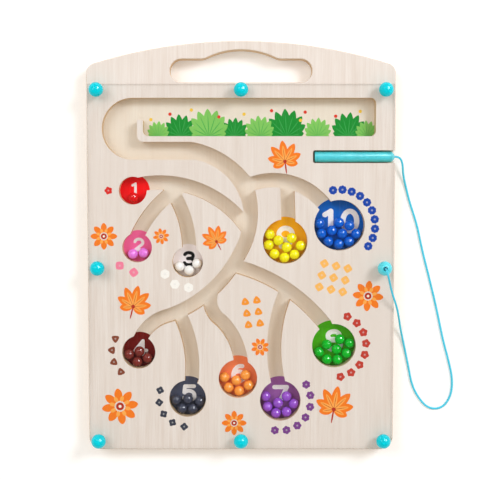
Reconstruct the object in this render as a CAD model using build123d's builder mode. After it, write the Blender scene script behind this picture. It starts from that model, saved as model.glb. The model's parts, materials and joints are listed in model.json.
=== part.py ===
"""Magnetic maze board: a wooden tray with routed channels, ten counting pockets,
55 coated steel balls, a clear cover and a magnet pen on a cord.

Millimetres. The board lies on its back on Z = 0, with its origin in the middle of the
back, +Y towards the handle, +X to the right and +Z out of the face with the maze.
"""
from build123d import *
import os
from math import pi, radians, sqrt, tan

os.makedirs("parts", exist_ok=True)

# The board
board_width = 225.0
board_length = 300.0
arch_rise = 17.8
top_corner_radius = 7.5
bottom_corner_radius = 10.0
back_thickness = 3.0
cover_thickness = 2.0
edge_round = 0.7
cut_overrun = 5.0

# The balls and the room that they have
ball_diameter = 7.5
ball_headroom = 2.0
channel_play = 2.9
ball_lift = 0.1

# The handle's cut-out
handle_length = 103.4
handle_height = 17.0
handle_bar = 6.1
bulge_length = 54.0
bulge_rise = 6.7
bulge_blend_radius = 8.0

# The clear cover
cover_inset = 0.9
cover_gap = 1.2
cover_corner_radius = 8.0
cover_edge_break = 0.3

# The store above the maze, where the balls start, and the lip that keeps them in
store_height = 27.8
store_top_margin = 9.9
store_right_margin = 14.3
store_corner_radius = 3.8
turn_left_margin = 11.1
ledge_thickness = 4.1
lip_offset = 3.2
lip_thickness = 4.4
lip_height = 11.9
lip_outer_radius = 4.6
lip_inner_radius = 3.8
lip_end_radius = 1.0
trunk_width = 13.0

# The pen and its slot
pen_diameter = 8.2
pen_length = 58.6
pen_lift = 0.25
pen_slot_margin = 10.2
pen_slot_play = 1.1
pen_slot_end_gap = 1.4
pen_slot_corner_radius = 1.6
pen_bore = 6.0
pen_fit = 0.05
pen_tip_length = 2.0
pen_tip_round = 0.6
pen_magnet_length = 12.0
pen_spigot_length = 3.0
pen_tail_length = 2.4
pen_tail_flat = 3.6

# The knobs that hold the cover down, and their screws
knob_diameter = 10.6
knob_collar_diameter = 6.0
knob_collar_height = 1.5
knob_inset = 8.0
knob_top_inset = 4.5
knob_middle_share = -0.098
screw_diameter = 3.0
screw_hole_play = 0.4
screw_head_diameter = 5.6
screw_recess = 0.3
screw_grip = 5.0
screw_fit = 0.05
screw_head_angle = 90
screw_drive_width = 0.9
screw_drive_length = 3.2
screw_drive_depth = 0.9

# The knob that the cord comes out of
cord_bore = 3.0
spigot_diameter = 5.6
spigot_depth = 4.5
spigot_fit = 0.05
knot_diameter = 4.6
knot_room = 1.4
knot_seat = 5.6
knot_gap = 0.1

# The cord
cord_diameter = 1.5
cord_proud = 0.1
cord_run_out = 3.2
cord_radius_share = 0.45
# The route from above the knob, over the right edge, along the floor and up to the pen.
cord_route = [
    (105.0, -17.0, 31.3),
    (106.1, -21.1, 30.7),
    (107.3, -24.9, 27.2),
    (108.8, -29.2, 22.8),
    (110.9, -35.4, 19.9),
    (114.1, -43.4, 16.2),
    (116.7, -52.4, 9.4),
    (118.9, -61.6, 3.0),
    (121.6, -72.8, 0.75),
    (125.2, -89.5, 0.75),
    (127.8, -103.4, 0.75),
    (132.9, -113.6, 0.75),
    (140.6, -122.0, 0.75),
    (150.9, -121.8, 0.75),
    (157.4, -112.9, 0.75),
    (158.7, -99.6, 0.75),
    (154.6, -82.7, 0.75),
    (150.7, -69.0, 0.75),
    (145.9, -46.0, 0.75),
    (140.1, -22.9, 0.75),
    (134.6, -2.1, 0.75),
    (130.6, 16.8, 0.75),
    (125.0, 33.0, 0.75),
    (121.9, 45.4, 0.75),
    (119.8, 53.4, 2.4),
    (119.2, 59.4, 4.9),
    (118.1, 63.8, 6.5),
]

# Places in the maze, as shares of half the board's width and of the maze's reach. The reach
# is set by the room between the bottom edge, at -1, and the trunk's head, at this share.
trunk_head_share = 0.428
pocket_place_shares = (
    (-0.703, 0.278),
    (-0.677, 0.000),
    (-0.348, -0.071),
    (-0.670, -0.515),
    (-0.351, -0.746),
    (-0.020, -0.647),
    (0.258, -0.756),
    (0.609, -0.483),
    (0.288, 0.030),
    (0.641, 0.109),
)
# The trunk widens at its head, between an outer and an inner wall.
outer_wall_shares = ((-0.320, 0.515), (-0.111, 0.456), (0.071, 0.333))
inner_wall_shares = ((0.018, 0.171), (-0.093, 0.348), (-0.293, 0.429))
# Three points on the middle line of each arc of a channel: the trunk first, then the
# branches from the first pocket to the tenth. The sixth branch has two arcs.
channel_arc_shares = (
    ((0.040, 0.289), (0.062, 0.137), (-0.006, -0.027)),
    ((-0.006, -0.027), (-0.182, -0.203), (-0.469, -0.334)),
    ((0.036, 0.100), (-0.222, 0.265), (-0.684, 0.304)),
    ((-0.409, 0.289), (-0.563, 0.189), (-0.676, 0.057)),
    ((-0.462, 0.287), (-0.370, 0.150), (-0.338, -0.007)),
    ((-0.469, -0.334), (-0.580, -0.373), (-0.660, -0.450)),
    ((-0.405, -0.324), (-0.344, -0.443), (-0.323, -0.647)),
    ((-0.196, -0.223), (-0.192, -0.300), (-0.129, -0.360)),
    ((-0.129, -0.360), (-0.035, -0.463), (-0.001, -0.563)),
    ((0.301, -0.205), (0.220, -0.440), (0.245, -0.667)),
    ((-0.009, -0.097), (0.293, -0.201), (0.551, -0.381)),
    ((0.302, 0.317), (0.304, 0.215), (0.310, 0.120)),
    ((0.058, 0.308), (0.338, 0.315), (0.551, 0.202)),
)

# Each pocket's radius, and each ball's place from the middle of its pocket, as shares of
# the ball's diameter. The first ball of a pocket is the one that leads out of it.
pocket_radius_shares = (1.36, 1.45, 1.50, 1.63, 1.81, 1.90, 2.00, 2.15, 2.18, 2.47)
ball_place_shares = (
    ((0.00, -0.68),),
    ((-0.50, -0.68), (0.58, -0.58)),
    ((-0.84, -0.48), (0.12, -0.89), (0.90, -0.18)),
    ((0.00, -0.04), (-1.02, -0.32), (0.80, -0.70), (-0.21, -1.07)),
    ((0.01, -0.17), (-1.18, -0.26), (1.18, -0.38), (-0.56, -1.13), (0.48, -1.16)),
    ((0.74, 0.24), (-1.34, 0.02), (-0.16, -0.30), (-0.92, -1.01), (0.12, -1.36),
     (1.06, -0.80)),
    ((0.66, 0.28), (-1.42, 0.30), (-1.24, -0.76), (-0.40, -1.40), (-0.20, -0.38),
     (0.66, -1.28), (1.38, -0.46)),
    ((0.64, 0.52), (-0.66, 0.00), (1.60, 0.14), (-1.42, -0.75), (0.31, -0.47),
     (1.30, -0.88), (-0.62, -1.48), (0.42, -1.50)),
    ((0.66, 0.30), (-1.49, 0.66), (-1.60, -0.39), (-0.64, 0.06), (0.17, -0.62),
     (1.56, -0.46), (-1.03, -1.27), (-0.04, -1.64), (0.95, -1.33)),
    ((0.02, 0.24), (-1.91, 0.16), (1.04, -0.06), (-1.71, -0.85), (-0.68, -0.54),
     (0.33, -0.85), (1.72, -0.87), (-1.02, -1.63), (0.00, -1.90), (1.02, -1.63)),
)
ball_colours = (
    "red", "pink", "white", "brown", "charcoal",
    "orange", "violet", "green", "yellow", "blue",
)
# A pocket with more balls than this keeps the balls behind its first one as one group.
most_single_balls = 8

# Sizes that follow from the ones above
half_width = board_width / 2
half_length = board_length / 2
side_top = half_length - arch_rise
ball_radius = ball_diameter / 2
channel_width = ball_diameter + channel_play
maze_thickness = ball_diameter + ball_headroom
maze_top = back_thickness + maze_thickness
cover_top = maze_top + cover_thickness
ball_height = back_thickness + ball_lift + ball_radius

handle_top = half_length - handle_bar - bulge_rise
handle_bottom = handle_top - handle_height
handle_middle = (handle_top + handle_bottom) / 2
half_bulge = bulge_length / 2

cover_edge = handle_bottom - cover_gap
cover_half_width = half_width - cover_inset
cover_bottom = cover_inset - half_length
cover_length = cover_edge - cover_bottom

store_top = cover_edge - store_top_margin
store_floor = store_top - store_height
store_right = half_width - store_right_margin
trunk_top = store_floor - ledge_thickness
trunk_bottom = trunk_top - trunk_width
maze_reach = (trunk_bottom + half_length) / (1 + trunk_head_share)
maze_middle = maze_reach - half_length
turn_radius = (store_top - trunk_bottom) / 2
turn_height = (store_top + trunk_bottom) / 2
turn_place = turn_left_margin + turn_radius - half_width
lip_left = turn_place + lip_offset
lip_right = lip_left + lip_thickness
ledge_start = turn_place + turn_radius + lip_thickness

pen_radius = pen_diameter / 2
pen_slot_width = pen_diameter + pen_slot_play
pen_row = store_floor - pen_slot_margin - pen_slot_width / 2
pen_height = back_thickness + pen_lift + pen_radius
pen_tip = half_width - pen_length
pen_slot_end = pen_tip - pen_slot_end_gap
pen_slot_reach = half_width + cut_overrun - pen_slot_end
pen_body_start = pen_tip + pen_tip_length
pen_body_end = half_width - pen_tail_length
pen_insert_radius = pen_bore / 2 - pen_fit

knob_radius = knob_diameter / 2
collar_radius = knob_collar_diameter / 2
collar_top = cover_top + knob_collar_height
knob_height = collar_top + sqrt(knob_radius**2 - collar_radius**2)
knob_side = half_width - knob_inset
knob_top_row = cover_edge - knob_top_inset
knob_middle_row = knob_middle_share * half_length
knob_bottom_row = knob_inset - half_length
cap_knob_places = {
    "top_left": (-knob_side, knob_top_row),
    "top_middle": (0, knob_top_row),
    "top_right": (knob_side, knob_top_row),
    "middle_left": (-knob_side, knob_middle_row),
    "bottom_left": (-knob_side, knob_bottom_row),
    "bottom_middle": (0, knob_bottom_row),
    "bottom_right": (knob_side, knob_bottom_row),
}
cord_knob_place = (knob_side, knob_middle_row)

screw_radius = screw_diameter / 2
screw_hole_radius = screw_radius + screw_hole_play / 2
screw_head_radius = screw_head_diameter / 2
screw_head_height = (screw_head_radius - screw_radius) / tan(radians(screw_head_angle / 2))
screw_tip = collar_top + screw_grip
screw_sink_radius = screw_head_radius + screw_fit + screw_recess * tan(radians(screw_head_angle / 2))

cord_radius = cord_diameter / 2
spigot_radius = spigot_diameter / 2
spigot_foot = maze_top - spigot_depth
knot_room_radius = (knot_diameter + knot_room) / 2
knot_height = knot_seat - knot_gap - knot_diameter / 2
cord_exit = knob_height + knob_radius + cord_proud


def on_board(shares):
    """The point at these shares of half the board's width and of the maze's reach."""
    return (shares[0] * half_width, maze_middle + shares[1] * maze_reach)


def in_pocket(pocket, shares):
    """The point at these shares of a ball's diameter from the middle of a pocket."""
    middle_x, middle_y = on_board(pocket_place_shares[pocket])
    return (middle_x + shares[0] * ball_diameter, middle_y + shares[1] * ball_diameter)


def finish(builder, name):
    """Label a finished piece and write its file."""
    builder.part.label = name
    export_step(builder.part, f"parts/{name}.step")


# The handle's cut-out is a slot with a shallow arch over its middle.
with BuildSketch() as handle_cut:
    with Locations((0, handle_middle)):
        SlotOverall(handle_length, handle_height)
    with BuildLine():
        ThreePointArc((-half_bulge, handle_top), (0, handle_top + bulge_rise), (half_bulge, handle_top))
        Polyline(
            (half_bulge, handle_top),
            (half_bulge, handle_middle),
            (-half_bulge, handle_middle),
            (-half_bulge, handle_top),
        )
    make_face()
    slot_top = handle_cut.vertices().filter_by_position(
        Axis.Y, handle_top - edge_round, handle_top + edge_round
    )
    bulge_feet = slot_top.filter_by_position(Axis.X, -half_bulge - edge_round, half_bulge + edge_round)
    fillet(bulge_feet, bulge_blend_radius)

# The back panel and the maze board share one outline, arched at the handle.
with BuildSketch() as board_outline:
    with BuildLine():
        ThreePointArc((half_width, side_top), (0, half_length), (-half_width, side_top))
        Polyline(
            (-half_width, side_top),
            (-half_width, -half_length),
            (half_width, -half_length),
            (half_width, side_top),
        )
    make_face()
    fillet(board_outline.vertices().group_by(Axis.Y)[-1], top_corner_radius)
    fillet(board_outline.vertices().group_by(Axis.Y)[0], bottom_corner_radius)
    add(handle_cut.sketch, mode=Mode.SUBTRACT)

# The lip of wood between the store and the trunk's head, with its ledge cut short.
with BuildSketch() as lip:
    with BuildLine():
        Polyline(
            (lip_left, trunk_top),
            (ledge_start, trunk_top),
            (ledge_start, store_floor),
            (lip_right, store_floor),
            (lip_right, store_floor + lip_height),
            (lip_left, store_floor + lip_height),
            close=True,
        )
    make_face()
    fillet(lip.vertices().group_by(Axis.Y)[-1], lip_end_radius)
    lip_inner_corner = lip.vertices().filter_by_position(Axis.X, lip_right, lip_right).sort_by(Axis.Y)[0]
    fillet(lip_inner_corner, lip_inner_radius)
    fillet(lip.vertices().group_by(Axis.Y)[0].sort_by(Axis.X)[0], lip_outer_radius)

# The store, the turn at its left end and the head of the trunk below it.
with BuildSketch() as store_cut:
    with BuildLine():
        Polyline(
            (turn_place, store_top),
            (store_right, store_top),
            (store_right, store_floor),
            (lip_right, store_floor),
            (lip_right, trunk_bottom),
            (turn_place, trunk_bottom),
            close=True,
        )
    make_face()
    fillet(store_cut.vertices().group_by(Axis.X)[-1], store_corner_radius)
    with Locations((turn_place, turn_height)):
        Circle(turn_radius)
    outer_start, outer_middle, outer_end = (on_board(shares) for shares in outer_wall_shares)
    inner_start, inner_middle, inner_end = (on_board(shares) for shares in inner_wall_shares)
    with BuildLine():
        Line((turn_place, trunk_top), (outer_start[0], trunk_top))
        ThreePointArc((outer_start[0], trunk_top), outer_middle, outer_end)
        Line(outer_end, inner_start)
        ThreePointArc(inner_start, inner_middle, (inner_end[0], trunk_bottom))
        Polyline((inner_end[0], trunk_bottom), (turn_place, trunk_bottom), (turn_place, trunk_top))
    make_face()
    add(lip.sketch, mode=Mode.SUBTRACT)

# Everything that the balls run in.
with BuildSketch() as maze_cut:
    add(store_cut.sketch)
    for arc_shares in channel_arc_shares:
        arc_start, arc_middle, arc_end = (on_board(shares) for shares in arc_shares)
        with BuildLine(mode=Mode.PRIVATE) as middle_line:
            ThreePointArc(arc_start, arc_middle, arc_end)
        SlotArc(middle_line.edge(), channel_width)
    for place_shares, radius_share in zip(pocket_place_shares, pocket_radius_shares):
        with Locations(on_board(place_shares)):
            Circle(radius_share * ball_diameter)

# The pen's slot runs out through the right edge.
with BuildSketch() as pen_slot:
    with Locations((pen_slot_end, pen_row)):
        Rectangle(pen_slot_reach, pen_slot_width, align=(Align.MIN, Align.CENTER))
    fillet(pen_slot.vertices().group_by(Axis.X)[0], pen_slot_corner_radius)

# The back panel, drilled and sunk from behind for the screws and the cord's knot.
screw_seats = [Location((x, y, 0), (180, 0, 0)) for x, y in cap_knob_places.values()]
knot_place = Location((*cord_knob_place, 0))
with BuildPart() as back_panel:
    with BuildSketch():
        add(board_outline.sketch)
    extrude(amount=back_thickness)
    fillet(back_panel.faces().sort_by(Axis.Z)[0].edges(), edge_round)
    with Locations(*screw_seats):
        CounterSinkHole(screw_hole_radius, screw_sink_radius, counter_sink_angle=screw_head_angle)
    with Locations(knot_place):
        Hole(knot_room_radius)
finish(back_panel, "back_panel")

# The maze board, routed right through and glued to the back panel.
with BuildPart() as maze_board:
    with BuildSketch(Plane.XY.offset(back_thickness)):
        add(board_outline.sketch)
    extrude(amount=maze_thickness)
    fillet(maze_board.edges().group_by(Axis.Z)[-1], edge_round)
    with BuildSketch(Plane.XY.offset(back_thickness)):
        add(maze_cut.sketch)
        add(pen_slot.sketch)
    extrude(amount=maze_thickness, mode=Mode.SUBTRACT)
    with Locations(*cap_knob_places.values()):
        Hole(screw_hole_radius)
    with Locations(Location((*cord_knob_place, maze_top))):
        CounterBoreHole(cord_bore / 2, spigot_radius + spigot_fit, spigot_depth)
    with Locations(Location((*cord_knob_place, back_thickness), (180, 0, 0))):
        CounterBoreHole(cord_bore / 2, knot_room_radius, knot_seat - back_thickness)
finish(maze_board, "maze_board")

# The clear cover, screwed down under the knobs.
with BuildPart() as cover_sheet:
    with BuildSketch(Plane.XY.offset(maze_top)) as cover_outline:
        with Locations((0, cover_bottom)):
            Rectangle(2 * cover_half_width, cover_length, align=(Align.CENTER, Align.MIN))
        fillet(cover_outline.vertices().group_by(Axis.Y)[0], cover_corner_radius)
    extrude(amount=cover_thickness)
    chamfer(cover_sheet.edges().group_by(Axis.Z)[-1], cover_edge_break)
    with Locations(*cap_knob_places.values()):
        Hole(screw_hole_radius)
    with Locations(cord_knob_place):
        Hole(spigot_radius + spigot_fit)
finish(cover_sheet, "cover_sheet")


def upright_plane(place):
    """The plane through a place that looks along +Y, with its height up."""
    return Plane(origin=(*place, 0), x_dir=(1, 0, 0), z_dir=(0, -1, 0))


def upright_axis(place):
    """The vertical line through a place."""
    return Axis((*place, 0), (0, 0, 1))


def knob_section(place):
    """Half the section of a knob: a ball on a collar."""
    with BuildSketch(upright_plane(place)) as section:
        with BuildLine():
            Polyline(
                (0, knob_height + knob_radius),
                (0, cover_top),
                (collar_radius, cover_top),
                (collar_radius, collar_top),
            )
            ThreePointArc(
                (collar_radius, collar_top),
                (knob_radius, knob_height),
                (0, knob_height + knob_radius),
            )
        make_face()
    return section.sketch


# Seven closed knobs, each with a blind hole for its screw.
for place_name, place in cap_knob_places.items():
    with BuildPart() as cap_knob:
        add(knob_section(place))
        revolve(axis=upright_axis(place))
        with Locations((*place, cover_top)):
            Cylinder(
                screw_radius + screw_fit,
                screw_tip + screw_fit - cover_top,
                align=(Align.CENTER, Align.CENTER, Align.MIN),
                mode=Mode.SUBTRACT,
            )
    finish(cap_knob, f"cap_knob_{place_name}")

# The eighth knob is bored through for the cord and sits on a hollow spigot.
with BuildPart() as cord_knob:
    add(knob_section(cord_knob_place))
    revolve(axis=upright_axis(cord_knob_place))
    with Locations((*cord_knob_place, spigot_foot)):
        Cylinder(
            spigot_radius,
            cover_top - spigot_foot,
            align=(Align.CENTER, Align.CENTER, Align.MIN),
        )
    with Locations((*cord_knob_place, cover_top)):
        Hole(cord_bore / 2)
finish(cord_knob, "cord_knob")

# The screws, with countersunk heads and a cross in each.
with BuildPart() as knob_screws:
    for place in cap_knob_places.values():
        with BuildSketch(upright_plane(place)):
            with BuildLine():
                Polyline(
                    (0, screw_recess),
                    (screw_head_radius, screw_recess),
                    (screw_radius, screw_recess + screw_head_height),
                    (screw_radius, screw_tip),
                    (0, screw_tip),
                    close=True,
                )
            make_face()
        revolve(axis=upright_axis(place))
    with BuildSketch(Plane.XY.offset(screw_recess)):
        with Locations(*cap_knob_places.values()):
            Rectangle(screw_drive_length, screw_drive_width)
            Rectangle(screw_drive_width, screw_drive_length)
    extrude(amount=screw_drive_depth, mode=Mode.SUBTRACT)
finish(knob_screws, "knob_screws")

# The pen: a tube with a magnet behind its tip and a coned plug for the cord.
with BuildPart() as pen_barrel:
    with BuildSketch(Plane.YZ.offset(pen_body_start)):
        with Locations((pen_row, pen_height)):
            Circle(pen_radius)
            Circle(pen_bore / 2, mode=Mode.SUBTRACT)
    extrude(amount=pen_body_end - pen_body_start)
finish(pen_barrel, "pen_barrel")

with BuildPart() as pen_tip_cap:
    with BuildSketch(Plane.YZ.offset(pen_tip)):
        with Locations((pen_row, pen_height)):
            Circle(pen_radius)
    extrude(amount=pen_tip_length)
    fillet(pen_tip_cap.edges().group_by(Axis.X)[0], pen_tip_round)
    with BuildSketch(Plane.YZ.offset(pen_body_start)):
        with Locations((pen_row, pen_height)):
            Circle(pen_insert_radius)
    extrude(amount=pen_spigot_length)
finish(pen_tip_cap, "pen_tip_cap")

with BuildPart() as pen_magnet:
    with BuildSketch(Plane.YZ.offset(pen_body_start + pen_spigot_length + pen_fit)):
        with Locations((pen_row, pen_height)):
            Circle(pen_insert_radius)
    extrude(amount=pen_magnet_length)
finish(pen_magnet, "pen_magnet")

with BuildPart() as pen_tail_plug:
    with BuildSketch(Plane.XY.offset(pen_height)):
        with BuildLine():
            Polyline(
                (pen_body_end - pen_spigot_length, pen_row),
                (pen_body_end - pen_spigot_length, pen_row + pen_insert_radius),
                (pen_body_end, pen_row + pen_insert_radius),
                (pen_body_end, pen_row + pen_radius),
                (half_width, pen_row + pen_tail_flat / 2),
                (half_width, pen_row),
                close=True,
            )
        make_face()
    revolve(axis=Axis((0, pen_row, pen_height), (1, 0, 0)))
finish(pen_tail_plug, "pen_tail_plug")

# The cord's hidden end, from the top of its knob down to the knot behind the board.
with BuildPart() as cord_anchor:
    with Locations((*cord_knob_place, knot_height)):
        Sphere(knot_diameter / 2)
        Cylinder(cord_radius, cord_exit - knot_height, align=(Align.CENTER, Align.CENTER, Align.MIN))
finish(cord_anchor, "cord_anchor")

# The cord's free length, as straight runs joined by the largest arcs that they allow.
cord_start = Vector(*cord_knob_place, cord_exit)
cord_end = Vector(half_width, pen_row, pen_height)
route = [cord_start, cord_start + Vector(0, 0, cord_run_out)]
route += [Vector(*point) for point in cord_route]
route += [cord_end + Vector(cord_run_out, 0, 0), cord_end]
runs = [after - before for before, after in zip(route, route[1:])]
bend_radii = []
for before, after in zip(runs, runs[1:]):
    shorter_run = min(before.length, after.length)
    half_turn = radians(before.get_angle(after) / 2)
    bend_radii.append(cord_radius_share * shorter_run / tan(half_turn))
with BuildPart() as cord:
    with BuildLine() as cord_path:
        FilletPolyline(*route, radius=bend_radii)
    with BuildSketch(Plane(origin=cord_start, z_dir=(0, 0, 1))):
        Circle(cord_radius)
    sweep()
finish(cord, "cord")
cord_length = cord_path.wire().length
print("cord bend radii, mm:", [round(radius, 1) for radius in bend_radii])
print("cord runs, mm:", [round(run.length, 1) for run in runs])
print("cord turns, degrees:", [round(a.get_angle(b)) for a, b in zip(runs, runs[1:])])
print("cord length, mm:", round(cord_length, 1))
cord_volume_share = cord.part.volume / (pi * cord_radius**2 * cord_length)
print("cord volume against section times length:", round(cord_volume_share, 4))

# The balls of each pocket: the one that leads out of it, then the ones behind it.
for pocket, (colour, place_shares) in enumerate(zip(ball_colours, ball_place_shares)):
    places = [(*in_pocket(pocket, shares), ball_height) for shares in place_shares]
    if len(places) == 1:
        groups = {f"{colour}_ball": places}
    elif len(places) <= most_single_balls:
        groups = {f"{colour}_ball_{number}": [place] for number, place in enumerate(places, 1)}
    else:
        groups = {f"{colour}_ball_lead": places[:1], f"{colour}_balls_rest": places[1:]}
    for name, group in groups.items():
        with BuildPart() as balls:
            with Locations(*group):
                Sphere(ball_radius)
        finish(balls, name)
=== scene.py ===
"""Looks of the magnetic maze board, built round its solids.

Metres. The board lies on its back on Z = 0, with +Y towards the handle, +X to the right and
+Z out of the face with the maze.
"""
import json
from math import asin, cos, pi, radians, sin, sqrt, tan

import bmesh
import bpy
from bpy.props import FloatProperty, FloatVectorProperty, IntProperty, PointerProperty
from mathutils import Matrix, Vector

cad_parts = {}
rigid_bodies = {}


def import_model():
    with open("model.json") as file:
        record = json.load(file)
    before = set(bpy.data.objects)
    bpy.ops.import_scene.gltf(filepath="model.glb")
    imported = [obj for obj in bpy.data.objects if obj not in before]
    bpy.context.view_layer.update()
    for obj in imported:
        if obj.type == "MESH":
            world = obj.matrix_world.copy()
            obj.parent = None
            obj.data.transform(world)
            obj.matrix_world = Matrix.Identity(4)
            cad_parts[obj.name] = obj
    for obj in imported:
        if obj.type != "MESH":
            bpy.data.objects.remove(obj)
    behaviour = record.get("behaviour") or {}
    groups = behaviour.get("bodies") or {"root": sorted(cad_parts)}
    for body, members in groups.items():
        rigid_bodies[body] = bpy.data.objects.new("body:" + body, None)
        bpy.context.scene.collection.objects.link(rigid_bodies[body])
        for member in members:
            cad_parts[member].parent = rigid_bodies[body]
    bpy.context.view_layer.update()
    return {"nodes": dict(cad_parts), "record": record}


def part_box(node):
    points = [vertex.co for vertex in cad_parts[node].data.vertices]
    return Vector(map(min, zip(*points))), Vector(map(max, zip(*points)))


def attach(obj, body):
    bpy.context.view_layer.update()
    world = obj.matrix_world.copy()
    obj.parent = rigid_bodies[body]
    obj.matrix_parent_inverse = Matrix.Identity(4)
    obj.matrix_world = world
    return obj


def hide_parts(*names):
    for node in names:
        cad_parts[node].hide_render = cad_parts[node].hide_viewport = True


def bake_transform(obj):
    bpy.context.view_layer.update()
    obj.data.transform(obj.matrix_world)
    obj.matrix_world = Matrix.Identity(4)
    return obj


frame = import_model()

bl_info = {
    "name": "Magnetic Maze Board",
    "version": (1, 0, 0),
    "blender": (4, 5, 0),
    "location": "View3D > Sidebar > Maze Board",
    "description": "Dresses a magnetic counting maze board: wood, prints, balls, knobs, cover, pen and cord",
    "category": "Object",
}

# Places and sizes that the solids give
board_low, board_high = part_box("maze_board")
panel_low, panel_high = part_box("back_panel")
cover_low, cover_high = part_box("cover_sheet")
ball_low, ball_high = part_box("red_ball")
knob_low, knob_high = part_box("cord_knob")
barrel_low, barrel_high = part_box("pen_barrel")
tip_low, tip_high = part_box("pen_tip_cap")
tail_low, tail_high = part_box("pen_tail_plug")
half_width = board_high.x
half_length = board_high.y
floor_height = panel_high.z
maze_top = board_high.z
cover_top = cover_high.z
ball_diameter = ball_high.x - ball_low.x
knob_radius = (knob_high.x - knob_low.x) / 2
knob_middle = (knob_low + knob_high) / 2
pen_radius = (barrel_high.z - barrel_low.z) / 2
pen_row = (barrel_low.y + barrel_high.y) / 2
pen_height = (barrel_low.z + barrel_high.z) / 2

# The pockets, as shares of half the board's width and length, and of a ball's diameter
pocket_place_shares = (
    (-0.703, 0.278), (-0.677, 0.000), (-0.348, -0.071), (-0.670, -0.515), (-0.351, -0.746),
    (-0.020, -0.647), (0.258, -0.756), (0.609, -0.483), (0.288, 0.030), (0.641, 0.109),
)
pocket_radius_shares = (1.36, 1.45, 1.50, 1.63, 1.81, 1.90, 2.00, 2.15, 2.18, 2.47)
pockets = [
    (Vector((x * half_width, y * half_length, 0)), share * ball_diameter)
    for (x, y), share in zip(pocket_place_shares, pocket_radius_shares)
]
# Each numeral's height as a share of its pocket's radius
numeral_shares = (0.88, 0.95, 1.04, 1.04, 1.00, 1.02, 1.02, 1.06, 1.06, 1.00)
ball_colours = (
    "red", "pink", "white", "brown", "charcoal",
    "orange", "violet", "green", "yellow", "blue",
)

# The cord's route, from the top of its knob over the right edge and up to the pen
cord_route = [
    (0.1050, -0.0170, 0.0313),
    (0.1061, -0.0211, 0.0307),
    (0.1073, -0.0249, 0.0272),
    (0.1088, -0.0292, 0.0228),
    (0.1109, -0.0354, 0.0199),
    (0.1141, -0.0434, 0.0162),
    (0.1167, -0.0524, 0.0094),
    (0.1189, -0.0616, 0.0030),
    (0.1216, -0.0728, 0.00075),
    (0.1252, -0.0895, 0.00075),
    (0.1278, -0.1034, 0.00075),
    (0.1329, -0.1136, 0.00075),
    (0.1406, -0.1220, 0.00075),
    (0.1509, -0.1218, 0.00075),
    (0.1574, -0.1129, 0.00075),
    (0.1587, -0.0996, 0.00075),
    (0.1546, -0.0827, 0.00075),
    (0.1507, -0.0690, 0.00075),
    (0.1459, -0.0460, 0.00075),
    (0.1401, -0.0229, 0.00075),
    (0.1346, -0.0021, 0.00075),
    (0.1306, 0.0168, 0.00075),
    (0.1250, 0.0330, 0.00075),
    (0.1219, 0.0454, 0.00075),
    (0.1198, 0.0534, 0.0024),
    (0.1192, 0.0594, 0.0049),
    (0.1181, 0.0638, 0.0065),
]


def shade(red, green, blue):
    """A colour as the eye reads it, from 0 to 255 each, turned into linear light."""
    parts = [part / 255 for part in (red, green, blue)]
    return tuple(p / 12.92 if p <= 0.04045 else ((p + 0.055) / 1.055) ** 2.4 for p in parts)


def scaled(colour, factor):
    """A colour made darker or lighter by a factor."""
    return tuple(part * factor for part in colour)


def number_setting(name, description, default, **more):
    """A number, with its limits and its unit where it has them."""
    return FloatProperty(name=name, description=description, default=default, **more)


def length_setting(name, description, default):
    """A length in metres, shown to a hundredth of a millimetre."""
    return number_setting(name, description, default, min=0, unit="LENGTH", precision=5)


def count_setting(name, description, default):
    """How many faces go round a form."""
    return IntProperty(name=name, description=description, default=default, min=8)


def colour_setting(name, description, *values):
    """A colour, given from 0 to 255 each."""
    return FloatVectorProperty(
        name=name, description=description, default=shade(*values), size=3, min=0, max=1, subtype="COLOR"
    )


class MazeBoardSizes(bpy.types.PropertyGroup):
    """Sizes of what is added to the solids."""

    ink_step: length_setting("Ink step", "Height of one layer of ink", 0.00003)
    cover_air: length_setting("Air under cover", "Gap between the board's face and the cover", 0.00014)
    disc_margin: length_setting("Disc margin", "How far a pocket's print runs under the wood", 0.0015)
    cord_diameter: length_setting("Cord diameter", "Thickness of the cord", 0.0015)
    cord_run_out: length_setting("Cord run-out", "How far the cord leaves its knob and pen straight", 0.0032)
    cord_stretch: length_setting("Cord stretch", "How far from its knob the cord goes with the pen", 0.067)
    collar_height: length_setting("Collar height", "Height of a knob's collar above the cover", 0.0015)
    collar_radius: length_setting("Collar radius", "Radius of a knob's collar", 0.003)
    spigot_radius: length_setting("Spigot radius", "Radius of the bored knob's spigot", 0.0028)
    bore_radius: length_setting("Bore radius", "Radius of the cord's hole through its knob", 0.0015)
    bore_round: length_setting("Bore rounding", "Rounding of the bore's mouth", 0.0005)
    pen_bore: length_setting("Pen bore", "Inner radius of the pen's barrel", 0.003)
    pen_spigot: length_setting("Pen spigot", "Radius of the spigots of the pen's tip and tail", 0.00295)
    pen_edge: length_setting("Pen edge", "Chamfer where the pen's parts meet", 0.00018)
    tip_round: length_setting("Tip rounding", "Rounding of the pen's tip", 0.0006)
    tail_flat: length_setting("Tail flat", "Radius of the flat end of the pen's tail", 0.0018)
    mark_radius: length_setting("Mark radius", "Radius of a counting mark", 0.0037)
    tight_mark_radius: length_setting("Tight mark radius", "Radius of a mark by the fullest pocket", 0.0034)
    mark_gap: length_setting("Mark gap", "From a pocket's rim to the middle of its marks", 0.0076)
    store_foot: length_setting("Store foot", "How far up the board the leaves in the store stand", 0.0813)
    dot_radius: length_setting("Dot radius", "Radius of a dot among the leaves", 0.0013)
    dot_corner: length_setting("Dot corner", "Rounding of a dot's corners", 0.0005)
    ball_segments: count_setting("Ball segments", "Faces round a ball", 48)
    knob_segments: count_setting("Knob segments", "Faces round a knob", 64)
    cord_sides: count_setting("Cord sides", "Faces round the cord", 16)


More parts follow.
